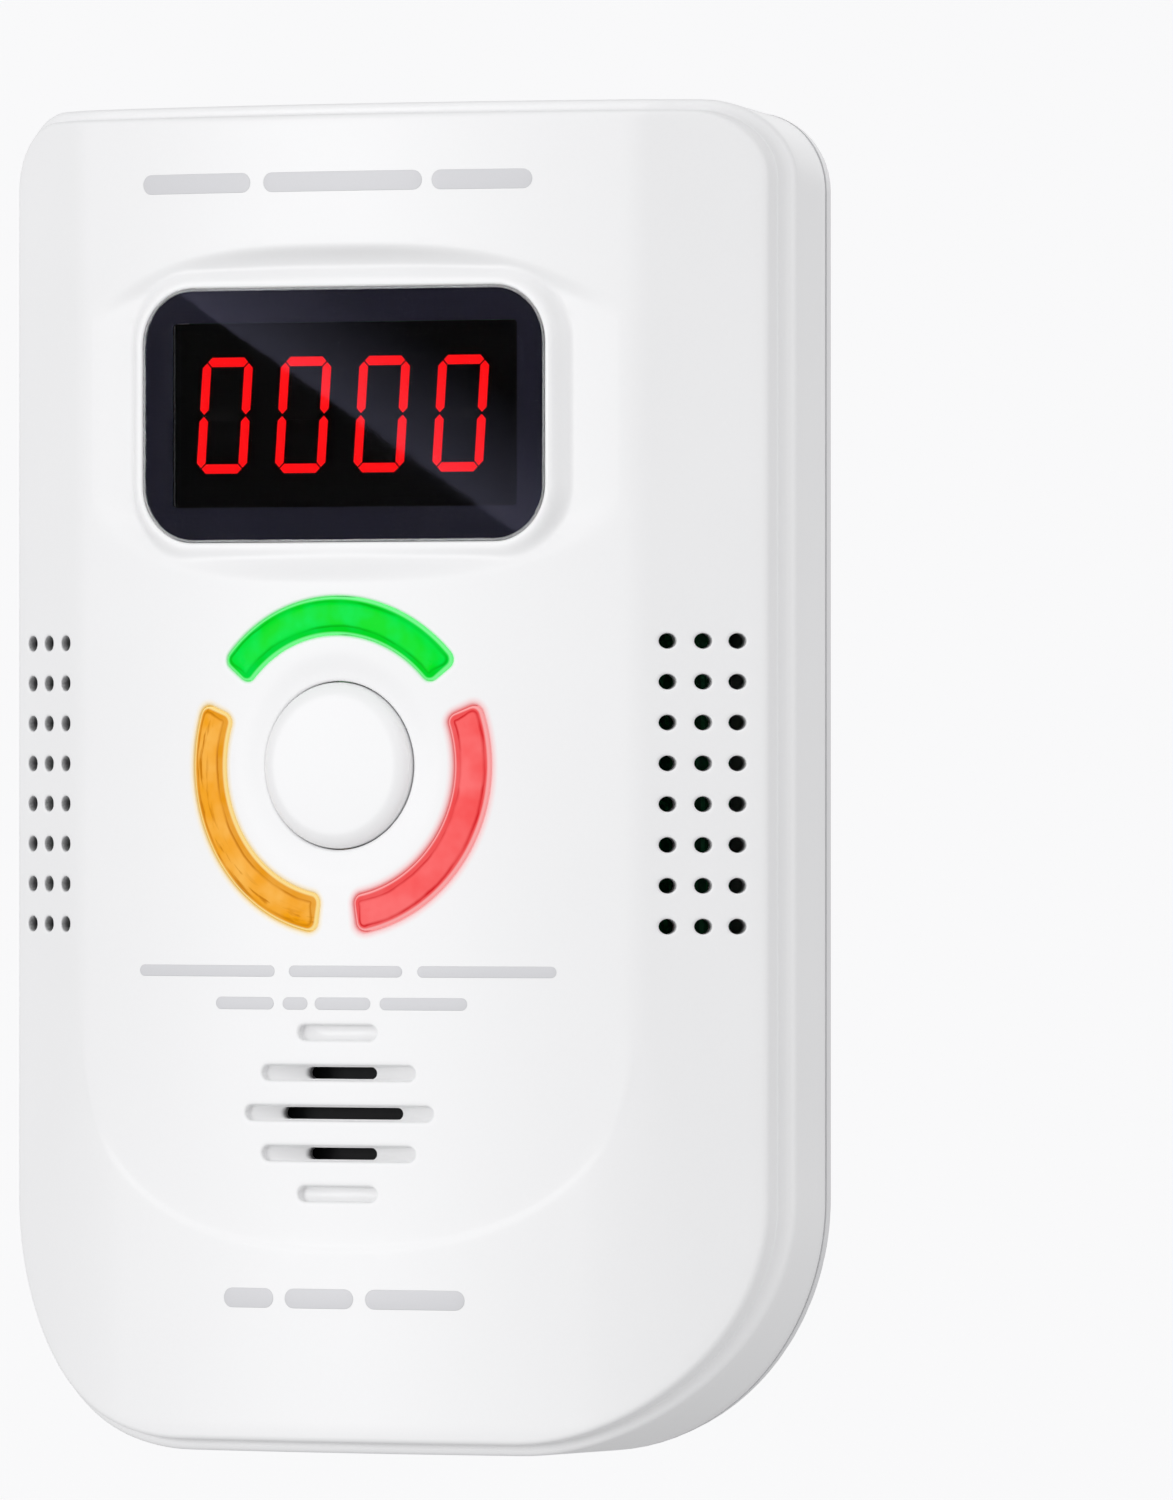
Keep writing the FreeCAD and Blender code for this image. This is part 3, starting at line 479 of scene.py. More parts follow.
def painted_arc_glow(m, colours, reach):
    """Painted glow: the base colour of the white plastic round each arc turns towards that arc's light
    colour, fading out over the reach given for it.
    """
    x, _, z = node(m, "ShaderNodeSeparateXYZ", {0: place(m)}).outputs
    up = maths(m, "SUBTRACT", z, RING_Z)
    r = maths(m, "SQRT", maths(m, "ADD", maths(m, "MULTIPLY", x, x), maths(m, "MULTIPLY", up, up)))
    mid = (RING_IN + RING_OUT) / 2
    from_mid = maths(m, "ABSOLUTE", maths(m, "SUBTRACT", r, mid))
    radial = maths(m, "SUBTRACT", from_mid, (RING_OUT - RING_IN) / 2)
    base = base_of(m)
    for name, colour in colours.items():
        a = math.radians(RING_ANGLES[name])
        facing = maths(m, "ADD", maths(m, "MULTIPLY", x, math.cos(a)), maths(m, "MULTIPLY", up, math.sin(a)))
        turn = maths(m, "ARCCOSINE", maths(m, "DIVIDE", facing, maths(m, "MAXIMUM", r, 1.0)))
        along = maths(m, "MULTIPLY", maths(m, "SUBTRACT", turn, math.radians(RING_SPAN / 2)), mid)
        past = [maths(m, "MAXIMUM", maths(m, "ADD", v, RING_CORNER), 0.0) for v in (radial, along)]
        away = maths(m, "SQRT", maths(m, "ADD", *[maths(m, "MULTIPLY", v, v) for v in past]))
        glow = spread(m, away, RING_CORNER, RING_CORNER + reach[name], 1, 0)
        base = mix(m, maths(m, "POWER", glow, 1.6), base, colour)
    feed(m, base, "Base Color")


def lens_material(name, rim, line, body, pale, streak=0.0):
    """Lit translucent lens: a painted bright rim highlight, a painted dark line for the shade and refraction
    where its bevel starts, and a body in soft patches.
    """
    m = bpy.data.materials.new(name)
    m.use_nodes = True
    p = principled(m)
    spot = node(m, "ShaderNodeAttribute", attribute_name="arc_place").outputs["Vector"]
    along, across, edge = node(m, "ShaderNodeSeparateXYZ", {0: spot}).outputs
    soft = noise(m, place(m), 3.2, 2.0)
    colour = mix(m, spread(m, soft, 0.35, 0.7, 0, 1), body, pale)
    if streak:
        drawn = node(m, "ShaderNodeCombineXYZ", {0: maths(m, "MULTIPLY", along, 0.16), 1: across})
        bands = spread(m, noise(m, drawn.outputs[0], 0.5, 4.0), 0.52, 0.64, 0, streak)
        colour = mix(m, maths(m, "MULTIPLY", bands, spread(m, across, -0.2, 0.6, 0, 1)), colour, line)
    # Painted shade: the dark bevel line sits further in from the edge on the arc's inner side, as the bevel
    # looks from the right.
    shift = spread(m, across, -0.6, 0.6, 0.3, 0.0)
    waver = maths(m, "MULTIPLY_ADD", noise(m, place(m), 2.4), 0.3, maths(m, "SUBTRACT", edge, 0.15))
    inwards = maths(m, "SUBTRACT", waver, shift)
    # Painted shade: a dark line along the start of the bevel, broken in patches.
    colour = mix(m, spread(m, inwards, 0.36, 0.5, 0.3, 0), colour, line)
    seen = maths(m, "MULTIPLY", spread(m, inwards, 0.32, 0.4, 0, 1), spread(m, inwards, 0.46, 0.66, 1, 0))
    patchy = spread(m, noise(m, place(m), 4.5, 2.0), 0.38, 0.6, 0.25, 0.95)
    colour = mix(m, maths(m, "MULTIPLY", seen, patchy), colour, line)
    # Painted highlight: a bright rim along the lens's edge.
    colour = mix(m, spread(m, edge, 0.1, 0.27, 1, 0), colour, rim)
    feed(m, colour, "Emission Color")
    p.inputs["Emission Strength"].default_value = 0.72
    feed(m, mix(m, 0.75, colour, (0, 0, 0)), "Base Color")
    p.inputs["Specular IOR Level"].default_value = 0.03
    feed(m, spread(m, soft, 0.3, 0.7, 0.2, 0.32), "Roughness")
    return m


WHITE = (0.84, 0.84, 0.845)
BRUSHED = (1, 1, 0.06)
SURFACES = {
    # name: (colour, roughness range, other settings)
    "case_white": (WHITE, (0.36, 0.46), dict(tint=0.015)),
    "button_white": ((0.83, 0.83, 0.835), (0.34, 0.42), dict(tint=0.012)),
    "baffle_white": ((0.8, 0.8, 0.8), (0.45, 0.55), {}),
    "border_navy": ((0.0125, 0.012, 0.0235), (0.22, 0.3),
                    dict(tint=0.1, grain=0.2, height=0.001, Specular_IOR_Level=0.03)),
    "screen_black": ((0.0008, 0.0008, 0.001), (0.5, 0.6), dict(tint=0.2, Specular_IOR_Level=0.03)),
    "digit_dark": ((0.0012, 0.0008, 0.0008), (0.4, 0.5), dict(tint=0.2, Specular_IOR_Level=0.03)),
    "led_white": ((0.85, 0.8, 0.62), (0.25, 0.35), dict(tint=0.05, grain=0.15)),
    "plastic_black": ((0.009, 0.009, 0.011), (0.55, 0.7),
                      dict(tint=0.15, grain=0.25, Specular_IOR_Level=0.25)),
    "chip_black": ((0.026, 0.026, 0.028), (0.5, 0.62), dict(tint=0.2, grain=0.12, height=0.006)),
    "tin": ((0.72, 0.72, 0.73), (0.25, 0.42), dict(tint=0.12, grain=0.3, height=0.004, Metallic=1.0)),
    "can_sleeve": ((0.02, 0.035, 0.09), (0.2, 0.3), dict(tint=0.1, grain=0.4)),
    "film_yellow": ((0.78, 0.5, 0.06), (0.3, 0.4), dict(tint=0.06)),
    "varistor_blue": ((0.02, 0.09, 0.36), (0.15, 0.28), dict(tint=0.15, grain=0.8, height=0.02)),
    "steel": ((0.56, 0.56, 0.57), (0.24, 0.4), dict(tint=0.1, grain=0.25, stretch=BRUSHED, Metallic=1.0)),
    "brass_gold": ((0.76, 0.55, 0.2), (0.2, 0.38), dict(tint=0.12, grain=0.3, Metallic=1.0)),
    "ceramic_white": ((0.82, 0.8, 0.74), (0.12, 0.22), dict(tint=0.04, grain=0.6)),
    "brass_nickel": ((0.72, 0.69, 0.63), (0.18, 0.34),
                     dict(tint=0.1, grain=0.2, stretch=(1, 0.05, 1), Metallic=1.0)),
    "ferrite": ((0.05, 0.05, 0.052), (0.4, 0.6), dict(tint=0.25, grain=0.2, height=0.01)),
    "tape_yellow": ((0.8, 0.58, 0.06), (0.16, 0.28),
                    dict(tint=0.08, grain=0.7, height=0.01, stretch=(0.1, 0.1, 1))),
    "label_grey": ((0.62, 0.62, 0.64), (0.4, 0.5), dict(tint=0.03, grain=0.15, height=0.001)),
    "board_green": ((0.008, 0.11, 0.04), (0.18, 0.3), dict(tint=0.15, grain=0.5)),
    "battery_wrap": ((0.03, 0.03, 0.034), (0.18, 0.3), dict(tint=0.15, grain=0.9)),
}
MATS = {name: surface(name, colour, rough, **rest) for name, (colour, rough, rest) in SURFACES.items()}
# Painted glow colours: the white plastic's base colour round each arc is painted towards these, out to the
# reach given for each arc below.
PAINTED_GLOW_COLOURS = {"green": (0.55, 0.86, 0.6), "amber": (0.86, 0.66, 0.3), "red": (0.86, 0.32, 0.32)}
MATS["case_front"] = surface("case_front", WHITE, (0.36, 0.46), tint=0.015)
painted_arc_glow(MATS["case_front"], PAINTED_GLOW_COLOURS, {"green": 0.35, "amber": 0.7, "red": 0.85})
# Each lens: painted rim highlight colour, painted dark bevel line colour, then body and pale patch colours;
# amber also gets streaks.
MATS["lens_green"] = lens_material("lens_green", (0.2, 1.0, 0.3), (0.0, 0.5, 0.01), (0.0, 0.78, 0.02),
                                   (0.0, 0.86, 0.1))
MATS["lens_amber"] = lens_material("lens_amber", (1.0, 0.76, 0.3), (0.6, 0.2, 0.002), (0.92, 0.36, 0.005),
                                   (0.98, 0.5, 0.09), 0.95)
MATS["lens_red"] = lens_material("lens_red", (1.0, 0.42, 0.42), (0.68, 0.012, 0.018), (0.97, 0.1, 0.1),
                                 (1.0, 0.17, 0.17))


def tracks(m):
    """Copper tracks under the solder mask: thin lines, in fields that run across each other."""
    x, _, z = node(m, "ShaderNodeSeparateXYZ", {0: place(m)}).outputs
    lines = []
    for direction in (x, z):
        bent = maths(m, "MULTIPLY_ADD", maths(m, "SNAP", noise(m, place(m), 9.0, 0.0), 0.12), 6.0, direction)
        lines.append(maths(m, "LESS_THAN", maths(m, "PINGPONG", bent, 0.65), 0.22))
    field = maths(m, "GREATER_THAN", noise(m, place(m), 14.0, 0.0), 0.5)
    either = maths(m, "ADD", maths(m, "MULTIPLY", lines[0], field),
                   maths(m, "MULTIPLY", lines[1], maths(m, "SUBTRACT", 1.0, field)))
    feed(m, mix(m, either, base_of(m), (0.02, 0.2, 0.075)), "Base Color")


def lit(name, colour, strength):
    """A lit segment, a little brighter in its middle."""
    m = surface(name, [c * 0.3 for c in colour], (0.4, 0.5), Specular_IOR_Level=0.03)
    glow = spread(m, noise(m, place(m), 1.6), 0.3, 0.7, 0, 1)
    feed(m, mix(m, glow, [c * 0.93 for c in colour], colour), "Emission Color")
    principled(m).inputs["Emission Strength"].default_value = strength
    return m


def clear_plastic(name):
    """Polished clear window, with faint waves from moulding."""
    return surface(name, (0.98, 0.98, 1.0), (0.0, 0.02), tint=0.01, grain=14.0, height=0.002,
                   Transmission_Weight=1.0, IOR=1.49)


def worded_label(m):
    """Rows of blank bars where the rating plate's words would be."""
    lo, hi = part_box("rating_label")
    x, _, z = node(m, "ShaderNodeSeparateXYZ", {0: place(m)}).outputs
    words = maths(m, "GREATER_THAN", noise(m, node(m, "ShaderNodeCombineXYZ", {
        0: x, 1: maths(m, "SNAP", maths(m, "ADD", z, 0.1), 2.0)}).outputs[0], 3.0, 0.0), 0.44)
    rows = maths(m, "LESS_THAN", maths(m, "PINGPONG", z, 1.0), 0.42)
    inside = maths(m, "LESS_THAN", maths(m, "ABSOLUTE", maths(m, "SUBTRACT", x, (lo.x + hi.x) / 2 / MM)),
                   (hi.x - lo.x) / 2 / MM - 1.5)
    bars = maths(m, "MULTIPLY", maths(m, "MULTIPLY", words, rows), inside)
    feed(m, mix(m, bars, base_of(m), (0.2, 0.2, 0.21)), "Base Color")


def banded(m, node_name, share, colour):
    """A band of another colour round the upper part of a node."""
    lo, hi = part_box(node_name)
    z = node(m, "ShaderNodeSeparateXYZ", {0: place(m)}).outputs[2]
    edge = (hi.z - share * (hi.z - lo.z)) / MM
    feed(m, mix(m, maths(m, "GREATER_THAN", z, edge), base_of(m), colour), "Base Color")


tracks(MATS["board_green"])
banded(MATS["battery_wrap"], "battery_case", 0.3, (0.36, 0.22, 0.1))
MATS["digit_red"] = lit("digit_red", (0.95, 0.004, 0.006), 1.0)
MATS["window_clear"] = clear_plastic("window_clear")
MATS["print_grey"] = MATS["label_grey"]
# Painted shade: the rear cover's white is darker than the front's, standing in for the shade on its band.
MATS["rear_cover"] = surface("rear_white_painted_shade", (0.72, 0.72, 0.73), (0.38, 0.48), tint=0.015)
MATS["rating_label"] = surface("rating_label", (0.6, 0.61, 0.63), (0.4, 0.5), grain=0.15, height=0.001)
worded_label(MATS["rating_label"])


# ---------------------------------------------------------------- front cover
def front_holes():
    """Every hole in the front: its outline at the edge grown by g, and the distance outside that edge."""
    holes = {
        "window": (lambda g: window_loop(g - PANE_LAP), lambda x, z: outside_box(
            x, z - DISPLAY_Z, WINDOW_HALF_W - PANE_LAP, WINDOW_HALF_H - PANE_LAP, WINDOW_R - PANE_LAP)),
        "button": (lambda g: circle_loop(0, RING_Z, BUTTON_HOLE_R + g, 96),
                   lambda x, z: np.hypot(x, z - RING_Z) - BUTTON_HOLE_R),
    }
    for name, middle in RING_ANGLES.items():
        holes[name] = (
            lambda g, middle=middle: sector_loop(middle, g),
            lambda x, z, middle=middle: outside_sector(x, z, middle),
        )
    for row, half_l in enumerate(GROOVE_HALF_L):
        zc = SLOT_Z - SLOT_PITCH * row
        holes["groove%d" % row] = (
            lambda g, zc=zc, half_l=half_l: bar_loop(0, zc, half_l + g, GROOVE_HALF_H + g),
            lambda x, z, zc=zc, half_l=half_l: np.hypot(
                np.maximum(np.abs(x) - half_l + GROOVE_HALF_H, 0), z - zc) - GROOVE_HALF_H,
        )
    vents = [(s * x, VENT_Z - VENT_PITCH * r) for s in (-1, 1) for x in VENT_X for r in range(VENT_ROWS)]
    for i, (cx, cz) in enumerate(vents):
        holes["vent%d" % i] = (
            lambda g, cx=cx, cz=cz: circle_loop(cx, cz, VENT_R + g, 20),
            lambda x, z, cx=cx, cz=cz: np.hypot(x - cx, z - cz) - VENT_R,
        )
    return holes


def spread_points(holes, margin):
    """Interior points, closer together where the surface bends more."""

    def bend(p, h=0.35):
        x, z = p[:, 0], p[:, 1]
        mid = 2 * depth_at(x, z)
        dx = np.abs(depth_at(x + h, z) + depth_at(x - h, z) - mid)
        dz = np.abs(depth_at(x, z + h) + depth_at(x, z - h) - mid)
        return np.maximum(dx, dz)

    def clear(p, gap):
        ok = outside_face(p[:, 0], p[:, 1]) < -gap
        for _, outside in holes.values():
            ok &= outside(p[:, 0], p[:, 1]) > HOLE_BAND + gap
        return p[ok]

    coarse, fine = 1.1, 0.33
    tight = 0.0035
    far = clear(hexagons(FACE_HALF_W, FACE_BOTTOM, FACE_TOP, coarse), margin)
    near = clear(hexagons(FACE_HALF_W, FACE_BOTTOM, FACE_TOP, fine), 0.22)
    return np.concatenate([far[bend(far) < tight], near[bend(near) >= tight]])


def outside_face(x, z):
    """Distance outside the plan of the raised face, inset by its rounded edge."""
    half_w = FACE_HALF_W - FACE_ROUND
    top, bottom = FACE_TOP - FACE_ROUND, FACE_BOTTOM + FACE_ROUND
    mid, half_h = (top + bottom) / 2, (top - bottom) / 2
    radius = np.where(z > mid, FACE_R_TOP - FACE_ROUND, FACE_R_BOTTOM - FACE_ROUND)
    return outside_box(x, z - mid, half_w, half_h, radius)


def face_loop(grow):
    return box_loop(
        FACE_HALF_W + grow, FACE_TOP + grow, FACE_BOTTOM - grow, FACE_R_TOP + grow, FACE_R_BOTTOM + grow)


def lip_loop(inset):
    return box_loop(HALF_W - inset, TOP_Z - inset, BOTTOM_Z + inset, LIP_R_TOP - inset, LIP_R_BOTTOM - inset)


SEAM_LOOP = box_loop(HALF_W - 0.1, TOP_Z - 1.0, BOTTOM_Z, 7.6, 24.6)
CAVITY_LOOP = box_loop(FACE_HALF_W - 1.7, FACE_TOP - 2.1, FACE_BOTTOM + 2.1, 4.5, 21.0)


def cover_skirt(skin, face_ring):
    """Rounded edge of the raised face, the lip round it and the tapering side wall, back to the seam."""
    steps = []
    for inset, drop in rounding(FACE_ROUND)[1:]:
        loop = face_loop(-inset)
        steps.append((loop, depth_at(loop[:, 0], loop[:, 1]) + drop))
    edge = face_loop(0)
    rim = depth_at(edge[:, 0], edge[:, 1])
    steps.append((edge, rim + FACE_STEP - COVE))
    for k in (1, 2, 3):
        a = math.pi / 2 * k / 3
        steps.append((face_loop(COVE * (1 - math.cos(a))), rim + FACE_STEP - COVE * (1 - math.sin(a))))
    for inset, drop in rounding(LIP_ROUND, 6):
        loop = lip_loop(inset)
        steps.append((loop, depth_at(loop[:, 0], loop[:, 1]) + FACE_STEP + drop))
    outer = lip_loop(0)
    start = depth_at(outer[:, 0], outer[:, 1]) + FACE_STEP + LIP_ROUND
    end = SEAM - SEAM_GAP - 0.25
    for k in range(1, 7):
        t = k / 6
        steps.append((outer + (SEAM_LOOP - outer) * t, start + (end - start) * t))
    inward = -outwards(SEAM_LOOP)
    steps.append((SEAM_LOOP + inward * 0.08, end + 0.18))
    steps.append((SEAM_LOOP + inward * 0.25, end + 0.25))
    last = skin.rings(face_ring, steps)
    inner = skin.ring(CAVITY_LOOP, end + 0.25)
    skin.bridge(last, inner)
    inside = skin.ring(CAVITY_LOOP, base_depth(CAVITY_LOOP[:, 0], CAVITY_LOOP[:, 1]) + SKIN)
    skin.bridge(inner, inside)
    return inside


def inner_depth(x, z):
    """Back of the front wall, thickened round the window where the display sits."""
    seat = outside_box(x, z - DISPLAY_Z, WINDOW_HALF_W + 2, WINDOW_HALF_H + 2, WINDOW_R)
    floor = base_depth(x, z) + SKIN
    return floor + np.maximum(SEAT_BACK - floor, 0) * (1 - ramp(seat / 2.0))


def front_cover(mat):
    skin = Skin()
    holes = front_holes()
    rounded = rounding(HOLE_ROUND)
    face = face_loop(-FACE_ROUND)
    face_ring = skin.ring(face, depth_at(face[:, 0], face[:, 1]))
    bands, through, back_rings = [], [], []
    for name, (loop_at, outside) in holes.items():
        wide = loop_at(HOLE_BAND)
        ring = skin.ring(wide, depth_at(wide[:, 0], wide[:, 1]))
        bands.append(ring)
        steps = []
        for grow, drop in rounded:
            loop = loop_at(grow)
            steps.append((loop, depth_at(loop[:, 0], loop[:, 1]) + drop))
        edge = skin.rings(ring, steps)
        loop = loop_at(0)
        if name == "window":
            inner = window_loop(SCREEN_GAP, SCREEN_HALF_W, SCREEN_HALF_H, SCREEN_R)
            edge = skin.rings(edge, [(loop, LEDGE_DEPTH), (inner, LEDGE_DEPTH)])
            loop = inner
            test = lambda x, z: outside_box(
                x, z - DISPLAY_Z, SCREEN_HALF_W + SCREEN_GAP, SCREEN_HALF_H + SCREEN_GAP, SCREEN_R)
        elif name.startswith("groove"):
            row = int(name[-1])
            zc = SLOT_Z - SLOT_PITCH * row
            floor = lambda p: depth_at(p[:, 0], p[:, 1]) + GROOVE_DEPTH
            edge = skin.rings(edge, [(loop, floor(loop) - 0.2), (loop_at(-0.12), floor(loop))])
            if not SLOT_HALF_L[row]:
                skin.faces.append(tuple(edge))
                continue
            cut = bar_loop(0, zc, SLOT_HALF_L[row], SLOT_HALF_H)
            edge = skin.rings(edge, [(cut, floor(cut))])
            loop = cut
            half_l = SLOT_HALF_L[row]
            test = lambda x, z, zc=zc, half_l=half_l: np.hypot(
                np.maximum(np.abs(x) - half_l + SLOT_HALF_H, 0), z - zc) - SLOT_HALF_H
        elif name.startswith("vent"):
            lean = -VENT_LEAN if loop[0, 0] > 0 else 0.0
            loop = loop + (lean, 0)
            test = lambda x, z, outside=outside, lean=lean: outside(x - lean, z)
        else:
            test = outside
        back = skin.ring(loop, inner_depth(loop[:, 0], loop[:, 1]))
        skin.bridge(edge, back)
        back_rings.append(back)
        through.append(test)

    skin.fill([face_ring] + bands, spread_points(holes, 0.5), depth_at)

    inside_ring = cover_skirt(skin, face_ring)
    spare = hexagons(FACE_HALF_W - 3, FACE_BOTTOM + 3, FACE_TOP - 3, 2.6)
    ok = outside_face(spare[:, 0], spare[:, 1]) < -2.5
    for outside in through:
        ok &= outside(spare[:, 0], spare[:, 1]) > 0.5
    skin.fill([inside_ring] + back_rings, spare[ok], inner_depth)
    return skin.piece("cover_shell", "case", mat, ["front_cover"])


front_cover(MATS["case_front"])


# ---------------------------------------------------------------- coloured arcs
def arc_lens(colour):
    """Lens that fills its slot: a low rim, a bevel, and a crowned middle."""
    middle = RING_ANGLES[colour]
    gap, foot = 0.1, 3.0
    rise = [(inset + gap, 0.1 - 0.22 + drop) for inset, drop in reversed(rounding(0.22))]
    rise += [(0.4, -0.13), (0.48, -0.15), (0.6, -0.21), (0.72, -0.27), (0.86, -0.3)]
    rise += [(1.2, -0.33), (1.6, -0.35)]
    skin = Skin()
    bottom = sector_loop(middle, -gap)
    base = skin.ring(bottom, depth_at(bottom[:, 0], bottom[:, 1]) + foot)
    steps = []
    for inset, above in rise:
        loop = sector_loop(middle, -inset)
        steps.append((loop, depth_at(loop[:, 0], loop[:, 1]) + above))
    skin.fill([skin.rings(base, steps)])
    skin.fill([base])
    slot = "lens_" + colour
    ob = skin.piece(colour + "_arc", "case", MATS[slot], [colour + "_light_pipe"])
    mesh = ob.data
    x, z = np.array([(v.co.x, v.co.z) for v in mesh.vertices]).T / MM
    turn = (np.arctan2(z - RING_Z, x) - math.radians(middle) + math.pi) % (2 * math.pi) - math.pi
    mid = (RING_IN + RING_OUT) / 2
    spot = np.stack([turn * mid, np.hypot(x, z - RING_Z) - mid, -outside_sector(x, z, middle) - gap], 1)
    mesh.attributes.new("arc_place", "FLOAT_VECTOR", "POINT").data.foreach_set("vector", spot.ravel())
    return ob


for arc_colour in RING_ANGLES:
    arc_lens(arc_colour)


# ---------------------------------------------------------------- test button
def turned(profile, name, body, slot, replaces, steps=128):
    """Round piece about the ring's axis, from (radius, depth) steps that start and end at small radii."""
    skin = Skin()
    rings = [(circle_loop(0, RING_Z, radius, steps), depth) for radius, depth in profile]
    first = skin.ring(*rings[0])
    last = skin.rings(first, rings[1:])
    skin.faces += [tuple(first), tuple(last)]
    return skin.piece(name, body, MATS[slot], replaces)


def button_profile():
    """Nearly flat middle, a broad round shoulder, the skirt, and the flange that holds it in the cover."""
    top, shoulder, dome = BUTTON_TOP, 1.7, 0.16
    flat = BUTTON_R - shoulder
    points = [(flat * t, top + dome * t * t) for t in (0.03, 0.2, 0.4, 0.6, 0.8, 0.92, 1.0)]
    for k in range(1, 13):
        a = math.pi / 2 * k / 12
        points.append((flat + shoulder * math.sin(a), top + dome + 1.0 * (1 - math.cos(a))))
    points += [(BUTTON_R, 2.2), (BUTTON_R, FLANGE_FRONT - 0.25), (BUTTON_R + 0.1, FLANGE_FRONT - 0.1)]
    points += [(BUTTON_R + 0.25, FLANGE_FRONT), (FLANGE_R - 0.1, FLANGE_FRONT)]
    points += [(FLANGE_R, FLANGE_FRONT + 0.1), (FLANGE_R, STEM_BACK - 0.15)]
    points += [(FLANGE_R - 0.1, STEM_BACK - 0.05), (2.2, STEM_BACK - 0.05)]
    points += [(2.0, STEM_BACK), (0.3, STEM_BACK)]
    return points


turned(button_profile(), "button_cap", "button", "button_white", ["test_button"])


# ---------------------------------------------------------------- window
def window_pane():
    """Clear pane with a small round edge, flush with the white rim round it."""
    skin = Skin()
    back = lens_hi.y / MM - FRONT_Y - 0.05
    steps = [(window_loop(-inset), WINDOW_DEPTH + drop) for inset, drop in reversed(rounding(PANE_ROUND, 3))]
    base = skin.ring(window_loop(-0.1), back)
    steps += [(window_loop(-inset), WINDOW_DEPTH) for inset in (0.4, 0.8)]
    last = skin.rings(base, [(window_loop(0), back - 0.1)] + steps)
    inner = skin.rings(base, [(window_loop(-inset), back) for inset in (0.3, 0.8)])
    skin.faces += [tuple(inner), tuple(last)]
    return skin.piece("window_pane", "case", MATS["window_clear"], ["display_lens"])


window_pane()


# ---------------------------------------------------------------- printed marks
def printed_marks(name, rows):
    """Blank bars where the words are, as a layer of ink that follows the surface."""
    skin = Skin()
    for z, half_h, words in rows:
        for x0, x1 in words:
            rings = []
            for inset, above in ((0.0, 0.04), (0.0, -0.015), (0.06, -0.025)):
                bar = bar_loop((x0 + x1) / 2, z, (x1 - x0) / 2 - inset, half_h - inset)
                rings.append((bar, depth_at(bar[:, 0], bar[:, 1]) + above))
            first = skin.ring(*rings[0])
            last = skin.rings(first, rings[1:])
            skin.fill([first])
            skin.fill([last])
    return skin.piece(name, "case", MATS["print_grey"])


HEADING = [(57.4, 0.95, ((-22.5, -9.7), (-8.2, 9.2), (10.2, 20.5)))]
LEGEND = [(-18.6, 0.55, ((-22.9, -6.9), (-5.3, 7.1), (8.7, 22.9))),
          (-21.7, 0.6, ((-13.7, -7.0), (-6.0, -3.2), (-2.4, 3.7), (4.7, 13.9)))]
FOOT = [(-50.1, 0.95, ((-12.7, -7.0), (-5.7, 1.9), (3.2, 13.7)))]
printed_marks("heading_marks", HEADING)
printed_marks("legend_marks", LEGEND)
printed_marks("foot_marks", FOOT)


# ---------------------------------------------------------------- materials of the parts kept from the frame
slots = {s["node"]: s["material_slot"] for s in frame["record"]["subparts"]}
for name, ob in frame["nodes"].items():
    chosen = MATS.get(name) or MATS[slots[name]]
    for place_in in ob.material_slots:
        place_in.material = chosen


# ---------------------------------------------------------------- stage, lights and camera
def towards(ob, target):
    ob.rotation_euler = (Vector(target) - ob.location).to_track_quat("-Z", "Y").to_euler()


def from_front(azimuth, elevation, distance, centre):
    """Point at an azimuth to the right of the front, an elevation, and a distance in metres from centre."""
    a, e = math.radians(azimuth), math.radians(elevation)
    away = Vector((math.sin(a) * math.cos(e), -math.cos(a) * math.cos(e), math.sin(e)))
    return centre + away * distance


CENTRE = Vector((0, FRONT_Y * MM, 0))


def softbox(name, azimuth, elevation, distance, size, strength):
    """Square light that faces the object. Strength is how bright its surface is, where 1 is white."""
    light = bpy.data.lights.new(name, "AREA")
    light.shape = "SQUARE"
    light.size = size
    light.energy = strength * size * size * math.pi
    ob = bpy.data.objects.new(name, light)
    ob.location = from_front(azimuth, elevation, distance, CENTRE)
    towards(ob, CENTRE)
    ob.visible_camera = False
    bpy.context.scene.collection.objects.link(ob)
    return ob


def floor_dish(radius=3.2, curve=2.0, drop=0.2, rise=5.0):
    """Pale floor that turns up smoothly into a wall all round."""
    z0 = BOTTOM_Z * MM - drop
    profile = [(radius * t, z0) for t in (0.02, 0.3, 0.6, 0.85, 1.0)]
    for k in range(1, 13):
        a = math.pi / 2 * k / 12
        profile.append((radius + curve * math.sin(a), z0 + curve * (1 - math.cos(a))))
    profile.append((radius + curve, z0 + rise))
    steps = 96
    verts, faces = [], [tuple(range(steps))]
    for r, z in profile:
        verts += [(r * math.cos(2 * math.pi * i / steps), r * math.sin(2 * math.pi * i / steps), z)
                  for i in range(steps)]
    for k in range(len(profile) - 1):
        for i in range(steps):
            j = (i + 1) % steps
            faces.append((k * steps + i, k * steps + j, (k + 1) * steps + j, (k + 1) * steps + i))
    mesh = bpy.data.meshes.new("floor")
    mesh.from_pydata(verts, [], faces)
    mesh.shade_smooth()
    ob = bpy.data.objects.new("floor", mesh)
    bpy.context.scene.collection.objects.link(ob)
    m = surface("floor", (0.5, 0.5, 0.5), (0.8, 0.9), tint=0.01, patch=900.0, grain=30.0, height=0.0)
    principled(m).inputs["Emission Color"].default_value = (0.63, 0.63, 0.635, 1)
    principled(m).inputs["Emission Strength"].default_value = 1.0
    mesh.materials.append(m)
    ob.visible_diffuse = False
    ob.visible_glossy = False
    ob.visible_transmission = False
    ob.visible_shadow = False
    return ob


